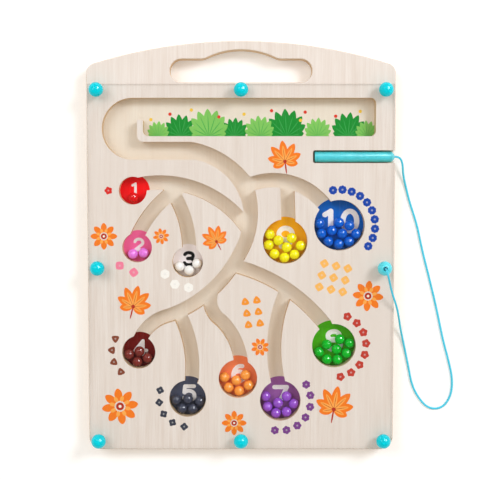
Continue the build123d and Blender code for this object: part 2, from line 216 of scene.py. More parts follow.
class MazeBoardColours(bpy.types.PropertyGroup):
    """Colours of the finishes."""

    wood: colour_setting("Wood", "Face veneer of the board", 237, 230, 225)
    wood_dark: colour_setting("Wood grain", "Darker streaks of the veneer", 218, 205, 195)
    panel: colour_setting("Panel", "Floor of the channels", 240, 233, 221)
    panel_dark: colour_setting("Panel grain", "Darker streaks of the floor", 231, 220, 205)
    routed: colour_setting("Routed wall", "Cut walls of the channels", 232, 208, 174)
    routed_dark: colour_setting("Routed wall, dark", "Darker plies of the cut walls", 214, 182, 144)
    knob: colour_setting("Knob", "Moulded caps on the cover", 0, 212, 230)
    cord_knob: colour_setting("Cord knob", "The bored knob", 88, 226, 242)
    pen: colour_setting("Pen", "The magnet pen", 78, 216, 232)
    cord: colour_setting("Cord", "Braided cord", 38, 212, 246)
    steel: colour_setting("Steel", "Screws and magnet", 172, 172, 176)
    petal: colour_setting("Petal", "Outer petals of the blossoms", 246, 128, 32)
    petal_light: colour_setting("Light petal", "Inner petals of the blossoms", 252, 176, 84)
    heart: colour_setting("Heart", "Middle of the blossoms", 186, 50, 30)
    cream: colour_setting("Cream", "Light dots of the blossoms", 250, 240, 220)
    leaf: colour_setting("Leaf", "Dark leaves", 22, 150, 52)
    leaf_light: colour_setting("Light leaf", "Light leaves", 132, 206, 100)
    vein: colour_setting("Vein", "Lines in the leaves", 60, 176, 84)
    berry: colour_setting("Berry", "Red dots among the leaves", 226, 62, 44)
    pollen: colour_setting("Pollen", "Yellow dots among the leaves", 246, 204, 70)
    numeral: colour_setting("Numeral", "Light numerals in the pockets", 252, 250, 252)
    numeral_dark: colour_setting("Dark numeral", "The numeral on the white pocket", 26, 24, 26)


class MazeStageSettings(bpy.types.PropertyGroup):
    """The camera and the lights."""

    distance: length_setting("Distance", "From the board's face up to the camera", 0.780)
    lens: number_setting("Lens", "Focal length in millimetres", 80.0, min=1)
    tilt: number_setting("Tilt", "The camera's lean", radians(3.48), subtype="ANGLE")
    aim_x: number_setting("Aim X", "What the camera looks at, across the board", -0.00073, unit="LENGTH")
    aim_y: number_setting("Aim Y", "What the camera looks at, along the board", 0.00556, unit="LENGTH")
    key_power: number_setting("Key power", "Power of the main lamp in watts", 15.0, min=0)
    fill_power: number_setting("Fill power", "Power of the second lamp in watts", 7.0, min=0)
    sheen_power: number_setting("Sheen power", "Power of the lamp seen in gloss, in watts", 95.0, min=0)
    sky: number_setting("Sky", "Strength of the even light", 0.67, min=0)
    sky_tint: colour_setting("Sky tint", "Colour of the even light", 255, 246, 234)
    key_tint: colour_setting("Key tint", "Colour of the lamps", 248, 251, 255)


# Colours of the pockets' floors, the balls and the counting marks, from 0 to 255 each
pocket_prints = {
    "red": (254, 4, 14), "pink": (255, 112, 174), "white": (255, 250, 255), "brown": (122, 14, 6),
    "charcoal": (84, 90, 114), "orange": (255, 142, 92), "violet": (158, 96, 168), "green": (78, 192, 8),
    "yellow": (255, 184, 16), "blue": (0, 100, 200),
}
ball_paints = {
    "red": (232, 10, 20), "pink": (240, 132, 242), "white": (252, 253, 254), "brown": (130, 50, 44),
    "charcoal": (68, 72, 90), "orange": (255, 164, 70), "violet": (158, 88, 216), "green": (8, 192, 42),
    "yellow": (254, 248, 20), "blue": (0, 100, 218),
}
mark_paints = {
    "red": (222, 44, 36), "pink": (246, 134, 164), "white": (248, 246, 242), "brown": (138, 74, 52),
    "charcoal": (62, 66, 80), "orange": (248, 156, 50), "violet": (124, 66, 142), "green": (196, 62, 48),
    "yellow": (250, 190, 100), "blue": (18, 70, 174),
}


# Node trees

def plug(tree, socket, value):
    """Give a socket a value or another node's output."""
    if isinstance(value, bpy.types.NodeSocket):
        tree.links.new(value, socket)
    elif socket.type == "RGBA" and len(value) == 3:
        socket.default_value = (*value, 1)
    else:
        socket.default_value = value


def add(tree, kind, sockets=None, **settings):
    """Add a node with its settings, and with values or links for its named or numbered sockets."""
    made = tree.nodes.new(kind)
    for name, value in settings.items():
        setattr(made, name, value)
    for key, value in (sockets or {}).items():
        plug(tree, made.inputs[key], value)
    return made


def output(tree, kind, sockets=None, **settings):
    """The first output of a node that is added in the same way."""
    return add(tree, kind, sockets, **settings).outputs[0]


def maths(tree, operation, *values):
    """The result of a Math node."""
    return output(tree, "ShaderNodeMath", dict(enumerate(values)), operation=operation)


def varied(tree, value, base, change):
    """A number that starts at its base and grows by a change as the value goes to 1."""
    return maths(tree, "MULTIPLY_ADD", value, change, base)


def weighed(tree, first, first_weight, second, second_weight):
    """Two values added, each by its weight."""
    return maths(tree, "MULTIPLY_ADD", first, first_weight, maths(tree, "MULTIPLY", second, second_weight))


def spread(tree, value, low, high):
    """A value from low to high turned into a share from 0 to 1."""
    sockets = {"Value": value, "From Min": low, "From Max": high}
    return output(tree, "ShaderNodeMapRange", sockets)


def part_of(tree, vector, axis):
    """A vector's part along X, Y or Z."""
    return add(tree, "ShaderNodeSeparateXYZ", {0: vector}).outputs[axis]


def vector_of(tree, **parts):
    """A vector of its parts, where one that is left out is 0."""
    return output(tree, "ShaderNodeCombineXYZ", parts)


def levelness(tree, normal):
    """How level a face lies, from 0 on a wall to 1."""
    return maths(tree, "ABSOLUTE", part_of(tree, normal, "Z"))


def mixed(tree, first, second, share, strength=1.0):
    """A colour turned into a second one by a share, and at most as far as the strength."""
    sockets = {0: maths(tree, "MULTIPLY", share, strength), 6: first, 7: second}
    return add(tree, "ShaderNodeMix", sockets, data_type="RGBA").outputs[2]


def noise(tree, place, scale, detail=3.0, roughness=0.5, stretch=(1, 1, 1)):
    """A noise from 0 to 1, drawn out along the axes where the stretch is small."""
    if stretch != (1, 1, 1):
        place = output(tree, "ShaderNodeMapping", {"Vector": place, "Scale": stretch})
    sockets = {"Vector": place, "Scale": scale, "Detail": detail, "Roughness": roughness}
    return add(tree, "ShaderNodeTexNoise", sockets).outputs["Fac"]


def bumped(tree, height, distance, strength):
    """A normal that follows a height."""
    sockets = {"Height": height, "Distance": distance, "Strength": strength}
    return output(tree, "ShaderNodeBump", sockets)


def seen_share(tree, rays):
    """1 for what the camera, glass or a mirror sees, and 0 for the light on the object."""
    seen = maths(tree, "MAXIMUM", rays["Is Camera Ray"], rays["Is Transmission Ray"])
    return maths(tree, "MAXIMUM", seen, rays["Is Glossy Ray"])


def new_material(name):
    """An empty material, its tree, and the place on the object that its patterns read."""
    material = bpy.data.materials.new(name)
    material.use_nodes = True
    tree = material.node_tree
    tree.nodes.clear()
    return material, tree, add(tree, "ShaderNodeTexCoord").outputs["Object"]


def show(tree, shader):
    """Send a shader to the output."""
    add(tree, "ShaderNodeOutputMaterial", {"Surface": shader})


def show_surface(tree, sockets):
    """Send a Principled shader with its sockets to the output."""
    show(tree, output(tree, "ShaderNodeBsdfPrincipled", sockets))


# Finishes

dust_colour = (0.9, 0.88, 0.85)
# Pale cyan painted on the cord as a glint of its fibres
painted_glint_colour = (0.60, 0.90, 0.94)
frost_colour = shade(196, 186, 174)


def wood_finish(name, face, face_dark, wall, wall_dark, ply):
    """Satin veneer with a fine upright grain on level faces, and plies on cut walls."""
    material, tree, place = new_material(name)
    fine = noise(tree, place, scale=900, detail=5, roughness=0.65, stretch=(1, 0.03, 1))
    broad = noise(tree, place, scale=170, detail=4, roughness=0.6, stretch=(1, 0.08, 1))
    streaks = weighed(tree, fine, 0.55, broad, 0.45)
    cloud = spread(tree, noise(tree, place, scale=14, detail=2), low=0.3, high=0.8)
    pores = noise(tree, place, scale=2600, detail=1, stretch=(1, 0.06, 1))
    pores = spread(tree, pores, low=0.70, high=0.78)
    veneer = mixed(tree, face, face_dark, spread(tree, streaks, low=0.36, high=0.66))
    veneer = mixed(tree, veneer, mixed(tree, face, face_dark, 0.5), cloud)
    veneer = mixed(tree, veneer, wall, pores, strength=0.22)

    layer = maths(tree, "FRACT", maths(tree, "DIVIDE", part_of(tree, place, "Z"), ply * 2))
    layer = maths(tree, "ABSOLUTE", maths(tree, "SUBTRACT", layer, 0.5))
    layer = spread(tree, layer, low=0.22, high=0.28)
    fibres = noise(tree, place, scale=1300, roughness=0.6, stretch=(1, 1, 0.12))
    dark_share = maths(tree, "MINIMUM", weighed(tree, layer, 0.55, fibres, 0.6), 1.0)
    edge = mixed(tree, wall, wall_dark, dark_share)

    normal = add(tree, "ShaderNodeNewGeometry").outputs["Normal"]
    level = spread(tree, levelness(tree, normal), low=0.35, high=0.75)
    relief = weighed(tree, streaks, 1.0, pores, -0.6)
    show_surface(tree, {
        "Base Color": mixed(tree, edge, veneer, level),
        "Roughness": varied(tree, streaks, base=0.40, change=0.22),
        "Normal": bumped(tree, relief, distance=0.00003, strength=0.55),
        "Specular IOR Level": 0.2,
    })
    return material


def gloss_finish(name, colour, roughness, coat, dust, specular=0.5):
    """A moulded or painted gloss with a faint orange peel, cloudy shade and a little dust."""
    material, tree, place = new_material(name)
    peel = noise(tree, place, scale=900, detail=2)
    cloud = spread(tree, noise(tree, place, scale=160), low=0.3, high=0.7)
    specks = spread(tree, noise(tree, place, scale=3400, detail=1), low=0.72, high=0.80)
    tone = mixed(tree, colour, scaled(colour, 0.86), cloud, strength=0.5)
    tone = mixed(tree, tone, dust_colour, specks, strength=dust * 0.25)
    show_surface(tree, {
        "Base Color": tone,
        "Roughness": varied(tree, peel, base=roughness - 0.05, change=0.10),
        "Specular IOR Level": specular,
        "Coat Weight": coat,
        "Coat Roughness": 0.06,
        "Normal": bumped(tree, peel, distance=0.00002, strength=0.25),
    })
    return material


def ink_finish(name, colour, wear=0.16):
    """Printed ink on wood, with the grain showing a little through it."""
    material, tree, place = new_material(name)
    grain = noise(tree, place, scale=1500, detail=4, roughness=0.6, stretch=(1, 0.04, 1))
    cloud = spread(tree, noise(tree, place, scale=60), low=0.35, high=0.75)
    pale = tuple(min(1.0, part + 0.24) for part in scaled(colour, 0.7))
    tone = mixed(tree, colour, pale, spread(tree, grain, low=0.52, high=0.72), strength=wear)
    tone = mixed(tree, tone, scaled(colour, 0.88), cloud, strength=0.35)
    show_surface(tree, {
        "Base Color": tone,
        "Roughness": varied(tree, grain, base=0.34, change=0.2),
        "Normal": bumped(tree, grain, distance=0.00002, strength=0.4),
        "Specular IOR Level": 0.15,
    })
    return material


def steel_finish(name, colour):
    """Plated steel with fine turning marks."""
    material, tree, place = new_material(name)
    marks = noise(tree, place, scale=2200, stretch=(1, 1, 6))
    show_surface(tree, {
        "Base Color": mixed(tree, colour, scaled(colour, 0.78), spread(tree, marks, low=0.3, high=0.7)),
        "Metallic": 1.0,
        "Roughness": varied(tree, marks, base=0.2, change=0.3),
        "Normal": bumped(tree, marks, distance=0.00002, strength=0.3),
    })
    return material


def clear_finish(name):
    """Clear sheet: it mirrors by Fresnel, lets light straight through, and its cut edges look frosted."""
    material, tree, place = new_material(name)
    rough = varied(tree, noise(tree, place, scale=420), base=0.02, change=0.03)
    through = output(tree, "ShaderNodeBsdfTransparent", {"Color": (0.998, 1, 1)})
    mirror = output(tree, "ShaderNodeBsdfGlossy", {"Color": (1, 1, 1), "Roughness": rough})
    frost = output(tree, "ShaderNodeBsdfDiffuse", {"Color": frost_colour})
    fresnel = output(tree, "ShaderNodeFresnel", {"IOR": 1.49})
    geometry = add(tree, "ShaderNodeNewGeometry").outputs
    gleam = maths(tree, "MULTIPLY", fresnel, maths(tree, "SUBTRACT", 1.0, geometry["Backfacing"]))
    sheet = output(tree, "ShaderNodeMixShader", {0: gleam, 1: through, 2: mirror})
    level = spread(tree, levelness(tree, geometry["Normal"]), low=0.4, high=0.9)
    frosted = varied(tree, level, base=0.42, change=-0.42)
    show(tree, output(tree, "ShaderNodeMixShader", {0: frosted, 1: sheet, 2: frost}))
    return material


def braid_finish(name, colour, diameter):
    """A braid of two strand sets that cross, from the cord's own along and around attributes."""
    strand_count, pitch_in_diameters = 4, 3.2
    material, tree, place = new_material(name)
    along = add(tree, "ShaderNodeAttribute", attribute_name="along").outputs["Fac"]
    around = add(tree, "ShaderNodeAttribute", attribute_name="around").outputs["Fac"]
    turn = maths(tree, "MULTIPLY", around, 2 * pi * strand_count)
    rise = maths(tree, "MULTIPLY", along, 2 * pi * strand_count / (diameter * pitch_in_diameters))
    left = maths(tree, "SINE", maths(tree, "ADD", turn, rise))
    right = maths(tree, "SINE", maths(tree, "SUBTRACT", turn, rise))
    strands = spread(tree, maths(tree, "MULTIPLY", left, right), low=-0.8, high=0.8)
    # Fine noise: it varies the braid's roughness, and in the colour it places the painted glint of the
    # fibres
    fibre_and_glint = noise(tree, place, scale=5200, detail=2)
    tone = mixed(tree, colour, scaled(colour, 0.62), strands, strength=0.5)
    tone = mixed(tree, tone, painted_glint_colour, fibre_and_glint, strength=0.12)
    show_surface(tree, {
        "Base Color": tone,
        "Roughness": varied(tree, fibre_and_glint, base=0.5, change=0.2),
        "Sheen Weight": 0.1,
        "Normal": bumped(tree, strands, distance=0.00008, strength=0.7),
    })
    return material


# Meshes

# How close points lie that are made one
merge_distance = 1e-7


def new_piece(name, data, material=None):
    """An object at the origin that shows its data."""
    piece = bpy.data.objects.new(name, data)
    bpy.context.scene.collection.objects.link(piece)
    if material is not None:
        data.materials.clear()
        data.materials.append(material)
    return piece


def as_mesh(piece):
    """A plain mesh of an object as it is shown."""
    bpy.context.view_layer.update()
    return bpy.data.meshes.new_from_object(piece.evaluated_get(bpy.context.evaluated_depsgraph_get()))


def curve_mesh(curve):
    """The plain mesh of a curve."""
    shown = new_piece(curve.name, curve)
    mesh = as_mesh(shown)
    bpy.data.objects.remove(shown)
    return mesh


def mesh_from(work, name):
    """The mesh of a bmesh, which is freed."""
    mesh = bpy.data.meshes.new(name)
    work.to_mesh(mesh)
    work.free()
    return mesh


def merged_copy(node):
    """A bmesh of a solid's surface with its doubled points merged."""
    work = bmesh.new()
    work.from_mesh(frame["nodes"][node].data)
    bmesh.ops.remove_doubles(work, verts=work.verts, dist=merge_distance)
    return work


def filled_outline(name, loops, thickness=0.0):
    """A level plate between loops of points, where a loop inside another is a hole."""
    outline = bpy.data.curves.new(name, "CURVE")
    outline.dimensions = "2D"
    outline.fill_mode = "BOTH"
    outline.extrude = thickness / 2
    for loop in loops:
        spline = outline.splines.new("POLY")
        spline.points.add(len(loop) - 1)
        for point, (x, y) in zip(spline.points, loop):
            point.co = (x, y, 0, 1)
        spline.use_cyclic_u = True
    return curve_mesh(outline)


def turned_piece(name, profile, origin, axis, material, closed=False, steps=72):
    """Turn a profile of (along, radius) points round an axis."""
    work = bmesh.new()
    angles = [2 * pi * step / steps for step in range(steps)]
    rings = []
    for along, radius in profile:
        if radius == 0:
            rings.append([work.verts.new((0, 0, along))])
        else:
            rings.append([work.verts.new((radius * cos(a), radius * sin(a), along)) for a in angles])
    pairs = list(zip(rings, rings[1:]))
    if closed:
        pairs.append((rings[-1], rings[0]))
    for lower, upper in pairs:
        for step in range(steps):
            after = (step + 1) % steps
            corners = [lower[step % len(lower)], lower[after % len(lower)]]
            corners += [upper[after % len(upper)], upper[step % len(upper)]]
            work.faces.new(list(dict.fromkeys(corners)))
    bmesh.ops.recalc_face_normals(work, faces=work.faces)
    mesh = mesh_from(work, name)
    mesh.transform(Matrix.Translation(origin) @ Vector(axis).to_track_quat("Z", "Y").to_matrix().to_4x4())
    mesh.shade_smooth()
    mesh.set_sharp_from_angle(angle=radians(35))
    return new_piece(name, mesh, material)


def flat_disc(name, middle, radius, low, high, material, steps=128):
    """A thin round print."""
    work = bmesh.new()
    bmesh.ops.create_cone(
        work, cap_ends=True, segments=steps, radius1=radius, radius2=radius, depth=high - low,
        matrix=Matrix.Translation((middle.x, middle.y, (low + high) / 2)),
    )
    return new_piece(name, mesh_from(work, name), material)


def solid_middles(node):
    """The middle of each separate solid in a node."""
    work = merged_copy(node)
    left, middles = set(work.verts), []
    while left:
        found, edge_of_search = set(), [left.pop()]
        while edge_of_search:
            vertex = edge_of_search.pop()
            found.add(vertex)
            for edge in vertex.link_edges:
                other = edge.other_vert(vertex)
                if other in left:
                    left.discard(other)
                    edge_of_search.append(other)
        low = Vector(min(v.co[axis] for v in found) for axis in range(3))
        high = Vector(max(v.co[axis] for v in found) for axis in range(3))
        middles.append((low + high) / 2)
    work.free()
    return sorted(middles, key=lambda middle: (round(middle.x, 5), round(middle.y, 5)))


def panel_rims():
    """The outlines of the panel's back, each with the wood on its right, the widest last."""
    slack = 1e-6
    work = merged_copy("back_panel")
    back = [face for face in work.faces if all(v.co.z < panel_low.z + slack for v in face.verts)]
    inside = set(back)
    after = {}
    for face in back:
        for corner in face.loops:
            if any(other not in inside for other in corner.edge.link_faces):
                after[corner.vert] = corner.link_loop_next.vert
    rims = []
    while after:
        first, following = after.popitem()
        rim = [first.co.xy]
        while following in after:
            rim.append(following.co.xy)
            following = after.pop(following)
        rims.append(rim)
    work.free()
    return sorted(rims, key=lambda rim: max(point.x for point in rim) - min(point.x for point in rim))


# Numerals

# How thick a stroke is, as a share of a numeral's height
numeral_stroke_share = 0.21


def bow(x, y, across, up, start, stop, steps=28):
    """Points along an arc of an ellipse, with its angles in degrees."""
    angles = [radians(start + (stop - start) * step / steps) for step in range(steps + 1)]
    return [(x + across * cos(angle), y + up * sin(angle)) for angle in angles]


def hoop(x, y, across, up):
    """A closed line right round an ellipse."""
    return bow(x, y, across, up, 0, 360)[:-1], True


def stroke(*points):
    """An open line through points."""
    return list(points), False


def digit_lines(digit):
    """The middle lines of a digit's strokes, one unit high over all, each with whether it is closed."""
    six = [hoop(0, -0.145, 0.27, 0.25), stroke(*bow(0.10, -0.12, 0.37, 0.51, 180, 78))]
    return {
        "0": [hoop(0, 0, 0.26, 0.39)],
        "1": [stroke((0.07, 0.39), (0.07, -0.39)), stroke((0.07, 0.38), (-0.15, 0.25))],
        "2": [
            stroke(*bow(0, 0.15, 0.27, 0.24, 168, -38), (-0.26, -0.38)),
            stroke((-0.26, -0.39), (0.28, -0.39)),
        ],
        "3": [
            stroke(*bow(0, 0.20, 0.26, 0.19, 158, -90)),
            stroke(*bow(0, -0.18, 0.29, 0.21, 90, -158)),
            stroke((-0.07, 0.015), (0.02, 0.015)),
        ],
        "4": [
            stroke((0.13, 0.39), (-0.29, -0.17)),
            stroke((-0.29, -0.17), (0.32, -0.17)),
            stroke((0.13, 0.39), (0.13, -0.39)),
        ],
        "5": [
            stroke((0.27, 0.39), (-0.20, 0.39)),
            stroke((-0.20, 0.39), (-0.24, 0.04)),
            stroke(*bow(0, -0.125, 0.29, 0.265, 140, -150)),
        ],
        "6": six,
        "7": [stroke((-0.29, 0.39), (0.29, 0.39)), stroke((0.29, 0.39), (-0.06, -0.39))],
        "8": [hoop(0, 0.20, 0.24, 0.19), hoop(0, -0.17, 0.28, 0.22)],
        "9": [([(-x, -y) for x, y in line], closed) for line, closed in six],
    }[digit]


def stroke_plate(line, closed, reach, thickness):
    """A thin plate along a line, with round ends where the line is open."""
    count, end_steps = len(line), 12
    ways = []
    for number, point in enumerate(line):
        before = line[number - 1] if closed or number else point
        after = line[(number + 1) % count] if closed or number < count - 1 else point
        ways.append((after - before).normalized())
    sides = [Vector((-way.y, way.x)) * reach for way in ways]
    left = [point + side for point, side in zip(line, sides)]
    right = [point - side for point, side in zip(line, sides)]
    if closed:
        return filled_outline("stroke", [left, right], thickness)
    turns = [pi * step / end_steps for step in range(1, end_steps)]
    far = [line[-1] + sides[-1] * cos(turn) + ways[-1] * reach * sin(turn) for turn in turns]
    near = [line[0] - sides[0] * cos(turn) - ways[0] * reach * sin(turn) for turn in turns]
    return filled_outline("stroke", [left + far + right[::-1] + near], thickness)


# Geometry Nodes

# How much thicker each repeat of a plate is than the one before
repeat_rise = 0.045


def new_tree(name, **inputs):
    """A geometry tree with a source, the named inputs and a material, and its input sockets."""
    tree = bpy.data.node_groups.new(name, "GeometryNodeTree")
    sockets = tree.interface
    sockets.new_socket("Source", in_out="INPUT", socket_type="NodeSocketGeometry")
    for input_name, value in inputs.items():
        kind = "NodeSocketInt" if isinstance(value, int) else "NodeSocketFloat"
        socket = sockets.new_socket(input_name.replace("_", " "), in_out="INPUT", socket_type=kind)
        socket.default_value = value
    sockets.new_socket("Material", in_out="INPUT", socket_type="NodeSocketMaterial")
    sockets.new_socket("Mesh", in_out="OUTPUT", socket_type="NodeSocketGeometry")
    return tree, add(tree, "NodeGroupInput").outputs


def number_on(tree, name):
    """A number that each point carries."""
    sockets = {"Name": name}
    return add(tree, "GeometryNodeInputNamedAttribute", sockets, data_type="FLOAT").outputs["Attribute"]


def numbered(tree, geometry, name, value):
    """A form whose points carry a number."""
    sockets = {"Geometry": geometry, "Name": name, "Value": value}
    return output(
        tree, "GeometryNodeStoreNamedAttribute", sockets, data_type="FLOAT", domain="POINT"
    )


def index_of(tree):
    """The number of each point or repeat, from 0."""
    return output(tree, "GeometryNodeInputIndex")


def turned(tree, **angles):
    """A rotation about the axes."""
    return output(tree, "FunctionNodeEulerToRotation", {"Euler": vector_of(tree, **angles)})


def rising(tree, reach=1.0):
    """A scale whose height grows from one repeat to the next, so that plates never share a plane."""
    return vector_of(tree, X=1.0, Y=reach, Z=varied(tree, index_of(tree), base=1.0, change=repeat_rise))


def set_down(tree, points, form, scale=(1, 1, 1), rotation=None):
    """A form repeated on points."""
    sockets = {"Points": points, "Instance": form, "Scale": scale}
    if rotation is not None:
        sockets["Rotation"] = rotation
    return output(tree, "GeometryNodeInstanceOnPoints", sockets)


def shaded(tree, geometry, smooth):
    """A form shaded smooth or flat."""
    sockets = {"Geometry": geometry, "Shade Smooth": smooth}
    return output(tree, "GeometryNodeSetShadeSmooth", sockets)


def joined(tree, *forms):
    """Forms put together."""
    together = add(tree, "GeometryNodeJoinGeometry")
    for form in forms:
        tree.links.new(form, together.inputs[0])
    return together.outputs[0]


def finish_tree(tree, ends, geometry, smooth=None):
    """Make the instances real, shade them where it is said how, and give them their material."""
    real = output(tree, "GeometryNodeRealizeInstances", {0: geometry})
    if smooth is not None:
        real = shaded(tree, real, smooth)
    painted = add(tree, "GeometryNodeSetMaterial", {"Geometry": real, "Material": ends["Material"]})
    add(tree, "NodeGroupOutput", {"Mesh": painted.outputs[0]})
    return tree


def as_ink(tree, flat, thickness):
    """A flat form made a thin closed plate: its faces raised, and a turned copy under them."""
    sockets = {"Mesh": flat, "Offset Scale": thickness, "Individual": False}
    raised = add(tree, "GeometryNodeExtrudeMesh", sockets).outputs["Mesh"]
    under = output(tree, "GeometryNodeFlipFaces", {"Mesh": flat})
    sockets = {"Geometry": joined(tree, raised, under), "Distance": merge_distance}
    return output(tree, "GeometryNodeMergeByDistance", sockets)


def ink_on_points(tree, ends, form, sized=True):
    """A flat form printed on each point, turned and sized as the point says."""
    size = number_on(tree, "size") if sized else 1.0
    scale = vector_of(tree, X=size, Y=size, Z=1.0)
    placed = set_down(tree, ends["Source"], form, scale, turned(tree, Z=number_on(tree, "turn")))
    return finish_tree(tree, ends, placed, smooth=False)


def ball_form(tree, segments, radius):
    """A ball with half as many rings as segments."""
    sockets = {"Segments": segments, "Rings": maths(tree, "DIVIDE", segments, 2.0), "Radius": radius}
    return add(tree, "GeometryNodeMeshUVSphere", sockets).outputs["Mesh"]


def ball_tree():
    """A ball on each point, lying its own way."""
    tree, ends = new_tree("Balls", Diameter=ball_diameter, Segments=48)
    ball = ball_form(tree, ends["Segments"], maths(tree, "DIVIDE", ends["Diameter"], 2.0))
    sockets = {"Min": (0.0, 0.0, 0.0), "Max": (pi, pi, pi), "Seed": 7}
    lie = output(tree, "FunctionNodeRandomValue", sockets, data_type="FLOAT_VECTOR")
    lie = output(tree, "FunctionNodeEulerToRotation", {"Euler": lie})
    return finish_tree(tree, ends, set_down(tree, ends["Source"], ball, rotation=lie), smooth=True)


def knob_tree():
    """A ball on a collar on each point, where the point is the middle of the ball."""
    tree, ends = new_tree("Knobs", Radius=knob_radius, Collar_radius=0.003, Foot=0.006, Segments=64)
    ball = shaded(tree, ball_form(tree, ends["Segments"], ends["Radius"]), True)
    sockets = {"Vertices": ends["Segments"], "Radius": ends["Collar radius"], "Depth": ends["Foot"]}
    collar = add(tree, "GeometryNodeMeshCylinder", sockets).outputs["Mesh"]
    drop = vector_of(tree, Z=maths(tree, "MULTIPLY", ends["Foot"], -0.5))
    collar = output(tree, "GeometryNodeTransform", {"Geometry": collar, "Translation": drop})
    level_limit = 0.9
    level = levelness(tree, output(tree, "GeometryNodeInputNormal"))
    collar = shaded(tree, collar, maths(tree, "LESS_THAN", level, level_limit))
    return finish_tree(tree, ends, set_down(tree, ends["Source"], joined(tree, ball, collar)))


def union_tree():
    """Overlapping plates made one solid."""
    tree, ends = new_tree("Union")
    sockets = {"Mesh 2": ends["Source"], "Self Intersection": True}
    union = output(tree, "GeometryNodeMeshBoolean", sockets, operation="UNION", solver="EXACT")
    return finish_tree(tree, ends, union)


def mark_tree():
    """A star, or a shape with rounded corners, printed on each point."""
    tree, ends = new_tree(
        "Marks", Corners=4, Inner=0.7, Radius=0.0033, Corner_radius=0.0005, Thickness=0.00003
    )
    inner = maths(tree, "MULTIPLY", ends["Inner"], ends["Radius"])
    sockets = {"Points": ends["Corners"], "Inner Radius": inner, "Outer Radius": ends["Radius"]}
    outline = add(tree, "GeometryNodeCurveStar", sockets).outputs["Curve"]
    sockets = {"Curve": outline, "Radius": ends["Corner radius"], "Limit Radius": True, "Count": 6}
    outline = output(tree, "GeometryNodeFilletCurve", sockets, mode="POLY")
    flat = output(tree, "GeometryNodeFillCurve", {"Curve": outline}, mode="NGONS")
    return ink_on_points(tree, ends, as_ink(tree, flat, ends["Thickness"]), sized=False)


def unit_disc(tree, corners):
    """A flat disc of radius 1, and its points' places."""
    sockets = {"Vertices": corners, "Radius": 1.0}
    disc = output(tree, "GeometryNodeMeshCircle", sockets, fill_type="NGON")
    place = add(tree, "ShaderNodeSeparateXYZ", {0: output(tree, "GeometryNodeInputPosition")})
    return disc, place.outputs


def drawn_in(tree, share, point_share, width):
    """How far a point stands aside, where a high share of pointing draws a disc to two tips."""
    slimmer = maths(tree, "POWER", maths(tree, "ABSOLUTE", share), point_share)
    return maths(tree, "MULTIPLY", maths(tree, "MULTIPLY", share, slimmer), width)


def leaf_plate(tree, ends, disc, **place):
    """A disc with its points moved to their places, as a thin plate of ink."""
    sockets = {"Geometry": disc, "Position": vector_of(tree, **place)}
    return as_ink(tree, output(tree, "GeometryNodeSetPosition", sockets), ends["Thickness"])


def petal_tree():
    """A ring of petals printed round each point; a point's size scales its ring."""
    tree, ends = new_tree(
        "Petals", Petals=8, Reach=0.0056, Petal_length=0.0034, Petal_width=0.0019,
        Point_share=0.35, Thickness=0.00003,
    )
    disc, place = unit_disc(tree, corners=28)
    across = drawn_in(tree, place["Y"], ends["Point share"], ends["Petal width"])
    out = varied(tree, place["X"], ends["Reach"], ends["Petal length"])
    petal = leaf_plate(tree, ends, disc, X=out, Y=across)
    angle = maths(tree, "MULTIPLY", index_of(tree), maths(tree, "DIVIDE", 2 * pi, ends["Petals"]))
    middle = output(tree, "GeometryNodePoints", {"Count": ends["Petals"]})
    ring = set_down(tree, middle, petal, rising(tree), turned(tree, Z=angle))
    return ink_on_points(tree, ends, ring)


def fan_tree():
    """A fan of leaves printed above each point; a point's size scales its fan."""
    tree, ends = new_tree(
        "Fans", Leaves=7, Reach=0.5, Leaf_width=0.13, Opening=radians(144), Point_share=0.6,
        Thickness=0.00003,
    )
    disc, place = unit_disc(tree, corners=32)
    across = drawn_in(tree, place["X"], ends["Point share"], ends["Leaf width"])
    out = maths(tree, "MULTIPLY", maths(tree, "ADD", place["Y"], 1.0), ends["Reach"])
    leaf = leaf_plate(tree, ends, disc, X=across, Y=out)
    last = maths(tree, "SUBTRACT", ends["Leaves"], 1.0)
    share = maths(tree, "SUBTRACT", maths(tree, "DIVIDE", index_of(tree), last), 0.5)
    shorter = varied(tree, maths(tree, "MULTIPLY", share, share), base=1.0, change=-1.5)
    lean = maths(tree, "MULTIPLY", share, ends["Opening"])
    foot = output(tree, "GeometryNodePoints", {"Count": ends["Leaves"]})
    fan = set_down(tree, foot, leaf, rising(tree, shorter), turned(tree, Z=lean))
    return ink_on_points(tree, ends, fan)


def tube_tree():
    """A tube along the source's edges, which carries how far along and around each point is."""
    tree, ends = new_tree("Cord", Diameter=0.0015, Sides=16)
    line = output(tree, "GeometryNodeMeshToCurve", {0: ends["Source"]})
    spline = add(tree, "GeometryNodeSplineParameter").outputs
    line = numbered(tree, line, "along", spline["Length"])
    sockets = {"Resolution": ends["Sides"], "Radius": maths(tree, "DIVIDE", ends["Diameter"], 2.0)}
    ring = output(tree, "GeometryNodeCurvePrimitiveCircle", sockets)
    ring = numbered(tree, ring, "around", spline["Factor"])
    sockets = {"Curve": line, "Profile Curve": ring, "Fill Caps": True}
    tube = output(tree, "GeometryNodeCurveToMesh", sockets)
    return finish_tree(tree, ends, tube, smooth=True)


def shape_by(piece, tree, material, **inputs):
    """Turn a piece into the plain mesh that a tree makes of it."""
    modifier = piece.modifiers.new("Form", "NODES")
    modifier.node_group = tree
    sockets = {s.name: s.identifier for s in tree.interface.items_tree if s.in_out == "INPUT"}
    for key, value in inputs.items():
        modifier[sockets[key.replace("_", " ")]] = value
    modifier[sockets["Material"]] = material
    source, grown = piece.data, as_mesh(piece)
    piece.modifiers.clear()
    piece.data = grown
    bpy.data.meshes.remove(source)
    if not grown.polygons:
        raise RuntimeError(f"{piece.name} came out empty")
    return piece


